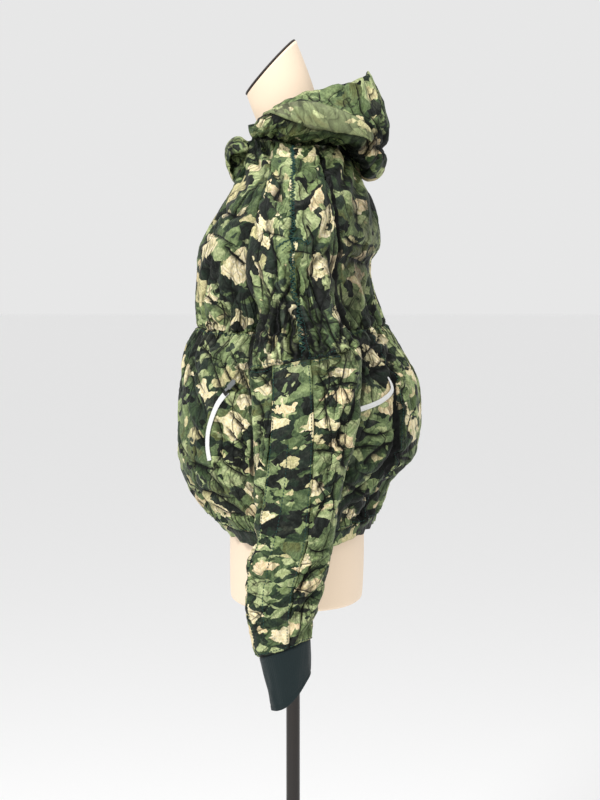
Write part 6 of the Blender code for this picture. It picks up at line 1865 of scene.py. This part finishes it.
def make_cuff(side, mirror):
    around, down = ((200, 44))
    a = np.linspace(0, 360, around + 1)[:-1]
    b = np.linspace(0.02, 3, down)
    q, r = np.meshgrid(a, b, indexing="ij")
    p = cuff_surface(q, r)
    out = normals(cuff_surface, q, r)
    ribs = 0.00022 * np.cos(np.radians(q) * 67)
    soft = 0.0011 * noise(np.stack([0.03 * np.cos(np.radians(q)), 0.03 * np.sin(np.radians(q)), p[..., 2] * 0.45], -1), 0.012, 61 + mirror)
    dip = -0.0012 * np.exp(-((r / 0.10) ** 2))
    hem = 0.0006 * np.exp(-(((r - 2.62) / 0.05) ** 2)) * -1
    p = p + out * (ribs + soft * np.clip(r, 0, 1) + dip + hem)[..., None]
    # The sewn edge goes on inside the sleeve.
    rise = p[:, :1] - p[:, 3:4]
    rise = rise / np.linalg.norm(rise, axis=-1, keepdims=True)
    tucked = [p[:, :1] + rise * up - out[:, :1] * back for up, back in ((0.0070, 0.0022), (0.0045, 0.0018), (0.0020, 0.0010))]
    p = np.concatenate(tucked + [p], axis=1)
    out = np.concatenate([out[:, :1]] * 3 + [out], axis=1)
    down += 3
    inner = p - out * 0.0018
    if mirror:
        p, inner = p * [-1, 1, 1], inner * [-1, 1, 1]
    n = around
    points = np.concatenate([p.reshape(-1, 3), inner.reshape(-1, 3)])
    faces = []
    def at(i, j, layer):
        return layer * n * down + (i % n) * down + j
    for i in range(n):
        for j in range(down - 1):
            faces.append((at(i, j, 0), at(i, j + 1, 0), at(i + 1, j + 1, 0), at(i + 1, j, 0)))
            faces.append((at(i, j, 1), at(i + 1, j, 1), at(i + 1, j + 1, 1), at(i, j + 1, 1)))
        faces.append((at(i, down - 1, 0), at(i, down - 1, 1), at(i + 1, down - 1, 1), at(i + 1, down - 1, 0)))
        faces.append((at(i, 0, 0), at(i + 1, 0, 0), at(i + 1, 0, 1), at(i, 0, 1)))
    if not mirror:
        faces = [f[::-1] for f in faces]
    return simple_object("cuff_" + side + "_cloth", points, faces, KNIT_DARK, ["cuff_" + side])


CUFFS = {side: make_cuff(side, side == "R") for side in ("L", "R")}


# ------------------------------------------------------------------ dress form
def make_form():
    around = 160
    u = np.linspace(0, 360, around + 1)[:-1]
    rows = np.concatenate([np.linspace(0, len(FORM_ROWS) - 1, 120)])
    g, v = np.meshgrid(u, rows, indexing="ij")
    p = ring(FORM_ROWS, g, v)
    points = list(p.reshape(-1, 3))
    count = len(rows)
    faces = []
    for i in range(around):
        k = (i + 1) % around
        for j in range(count - 1):
            faces.append((i * count + j, k * count + j, k * count + j + 1, i * count + j + 1))
    for j, turn in ((0, 1), (count - 1, 0)):
        middle = p[:, j].mean(axis=0)
        points.append(middle)
        m = len(points) - 1
        for i in range(around):
            k = (i + 1) % around
            faces.append((m, k * count + j, i * count + j) if turn else (m, i * count + j, k * count + j))
    simple_object("form_torso_cover", points, faces, JERSEY, ["form_torso"])
    top = p[:, -1]
    middle = top.mean(axis=0)
    up = np.cross(top[around // 4] - middle, top[0] - middle)
    up = up / np.linalg.norm(up)
    up = up if up[2] > 0 else -up
    section = []
    for k in range(14):
        t = 2 * math.pi * k / 14
        section.append((0.966 + 0.036 * math.cos(t) * (1 if abs(math.cos(t)) < 0.9 else 0.97), 0.0019 + 0.0018 * math.sin(t)))
    rings = [middle + (top - middle) * share + up * lift for share, lift in section]
    points = np.concatenate(rings)
    faces = []
    for s in range(14):
        t = (s + 1) % 14
        for i in range(around):
            k = (i + 1) % around
            faces.append((s * around + i, t * around + i, t * around + k, s * around + k))
    simple_object("form_neck_trim_band", points, faces, TRIM, ["form_neck_trim"])


make_form()
for node, material, slot in (("form_pole", POLE, "form_pole"), ("form_foot", FOOT, "form_foot")):
    obj = frame["nodes"][node]
    obj.data.materials.clear()
    obj.data.materials.append(material)
    for polygon in obj.data.polygons:
        polygon.material_index = 0
for node, obj in frame["nodes"].items():
    if "_slider_" in node or "_pull_" in node:
        obj.data.materials.clear()
        obj.data.materials.append(SLIDER if "_slider_" in node else TAB)
        for polygon in obj.data.polygons:
            polygon.material_index = 0


# ------------------------------------------------------------------ zip tapes
def frame_on(surface, path, where):
    u, v = np.moveaxis(along(path, where * (len(path) - 1)), -1, 0)
    here = surface(u, v)
    d = 0.01 if where < 0.99 else -0.01
    u2, v2 = np.moveaxis(along(path, (where + d) * (len(path) - 1)), -1, 0)
    ahead = (surface(u2, v2) - here) * np.sign(d)
    ahead = ahead / np.linalg.norm(ahead)
    out = normals(surface, u, v)
    ahead = ahead - out * np.dot(ahead, out)
    ahead = ahead / np.linalg.norm(ahead)
    return here, ahead, out


def make_tape(name, path, width, mirror, taper):
    steps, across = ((110, 10))
    points = []
    for share in np.linspace(0, 1, steps + 1):
        here, ahead, out = frame_on(body, path, share)
        aside = np.cross(out, ahead)
        half = width / 2
        if taper:
            half *= 1 - 0.72 * np.clip((share - 0.72) / 0.28, 0, 1) ** 1.2
        for k in np.linspace(-1, 1, across + 1):
            wave = 0.00012 * math.sin(share * 150)
            lift = LIFT + ZIP_THICK - 0.00045 * (abs(k) > 0.85) + 0.0004 * math.exp(-((k / 0.22) ** 2)) + wave
            points.append(here + aside * half * k + out * lift)
    points = np.array(points)
    if mirror:
        points = points * [-1, 1, 1]
    faces = []
    for i in range(steps):
        for j in range(across):
            a, b = i * (across + 1) + j, (i + 1) * (across + 1) + j
            face = (a, b, b + 1, a + 1)
            faces.append(face if mirror else face[::-1])
    obj = simple_object(name + "_tape", points, faces, TAPE, [name])
    wall = obj.modifiers.new("wall", "SOLIDIFY")
    wall.thickness, wall.offset = 0.0008, 0.0
    return obj


for SIDE, MIRRORED in (("L", False), ("R", True)):
    make_tape("pocket_zip_" + SIDE, POCKET_ZIP, ZIP_WIDTH, MIRRORED, False)
    make_tape("rear_zip_" + SIDE, REAR_ZIP, ZIP_WIDTH * 0.78, MIRRORED, True)


# ------------------------------------------------------------------ floor, light and camera
def make_stage():
    mesh = bpy.data.meshes.new("floor")
    mesh.from_pydata([(-40, -40, -0.0005), (40, -40, -0.0005), (40, 40, -0.0005), (-40, 40, -0.0005)], [], [(0, 1, 2, 3)])
    n = Nodes("pale_floor")
    n.shader.inputs["Base Color"].default_value = (0.96, 0.96, 0.96, 1)
    n.shader.inputs["Roughness"].default_value = 0.9
    mesh.materials.append(n.mat)
    floor = bpy.data.objects.new("floor", mesh)
    bpy.context.scene.collection.objects.link(floor)
    world = bpy.data.worlds.new("studio")
    world.use_nodes = True
    back = world.node_tree.nodes["Background"]
    back.inputs[0].default_value = (1, 1, 1, 1)
    back.inputs[1].default_value = 0.80
    bpy.context.scene.world = world
    for name, place, size, power in (
        ("key", (2.75, -1.55, 2.75), 0.8, 66),
        ("fill", (2.8, 2.2, 1.9), 2.2, 4),
        ("top", (0.5, 0.1, 3.2), 1.0, 20),
    ):
        light = bpy.data.lights.new(name, "AREA")
        light.shape, light.size, light.energy = "DISK", size, power
        lamp = bpy.data.objects.new(name, light)
        bpy.context.scene.collection.objects.link(lamp)
        lamp.location = place
        lamp.rotation_euler = (Vector((0, 0, 1.1)) - Vector(place)).to_track_quat("-Z", "Y").to_euler()
    camera = bpy.data.cameras.new("camera")
    camera.lens, camera.sensor_width, camera.sensor_fit = 93.1, 36, "AUTO"
    eye = bpy.data.objects.new("camera", camera)
    bpy.context.scene.collection.objects.link(eye)
    eye.location = (2.9927, 0.01015, 1.2303)
    eye.rotation_euler = (Vector((0, 0.01015, 1.021)) - eye.location).to_track_quat("-Z", "Y").to_euler()
    bpy.context.scene.camera = eye


make_stage()
bpy.context.scene.view_settings.view_transform = "Standard"


# ------------------------------------------------------------------ sheets
for name, piece in PIECES.items():
    width, length, area = piece.area()
    share = area / (width * length)
    "stretched" if "strip" in name else "gathered"
    print("SHEET", name, round(width, 3), round(length, 3), round(area, 4), round(share, 3))
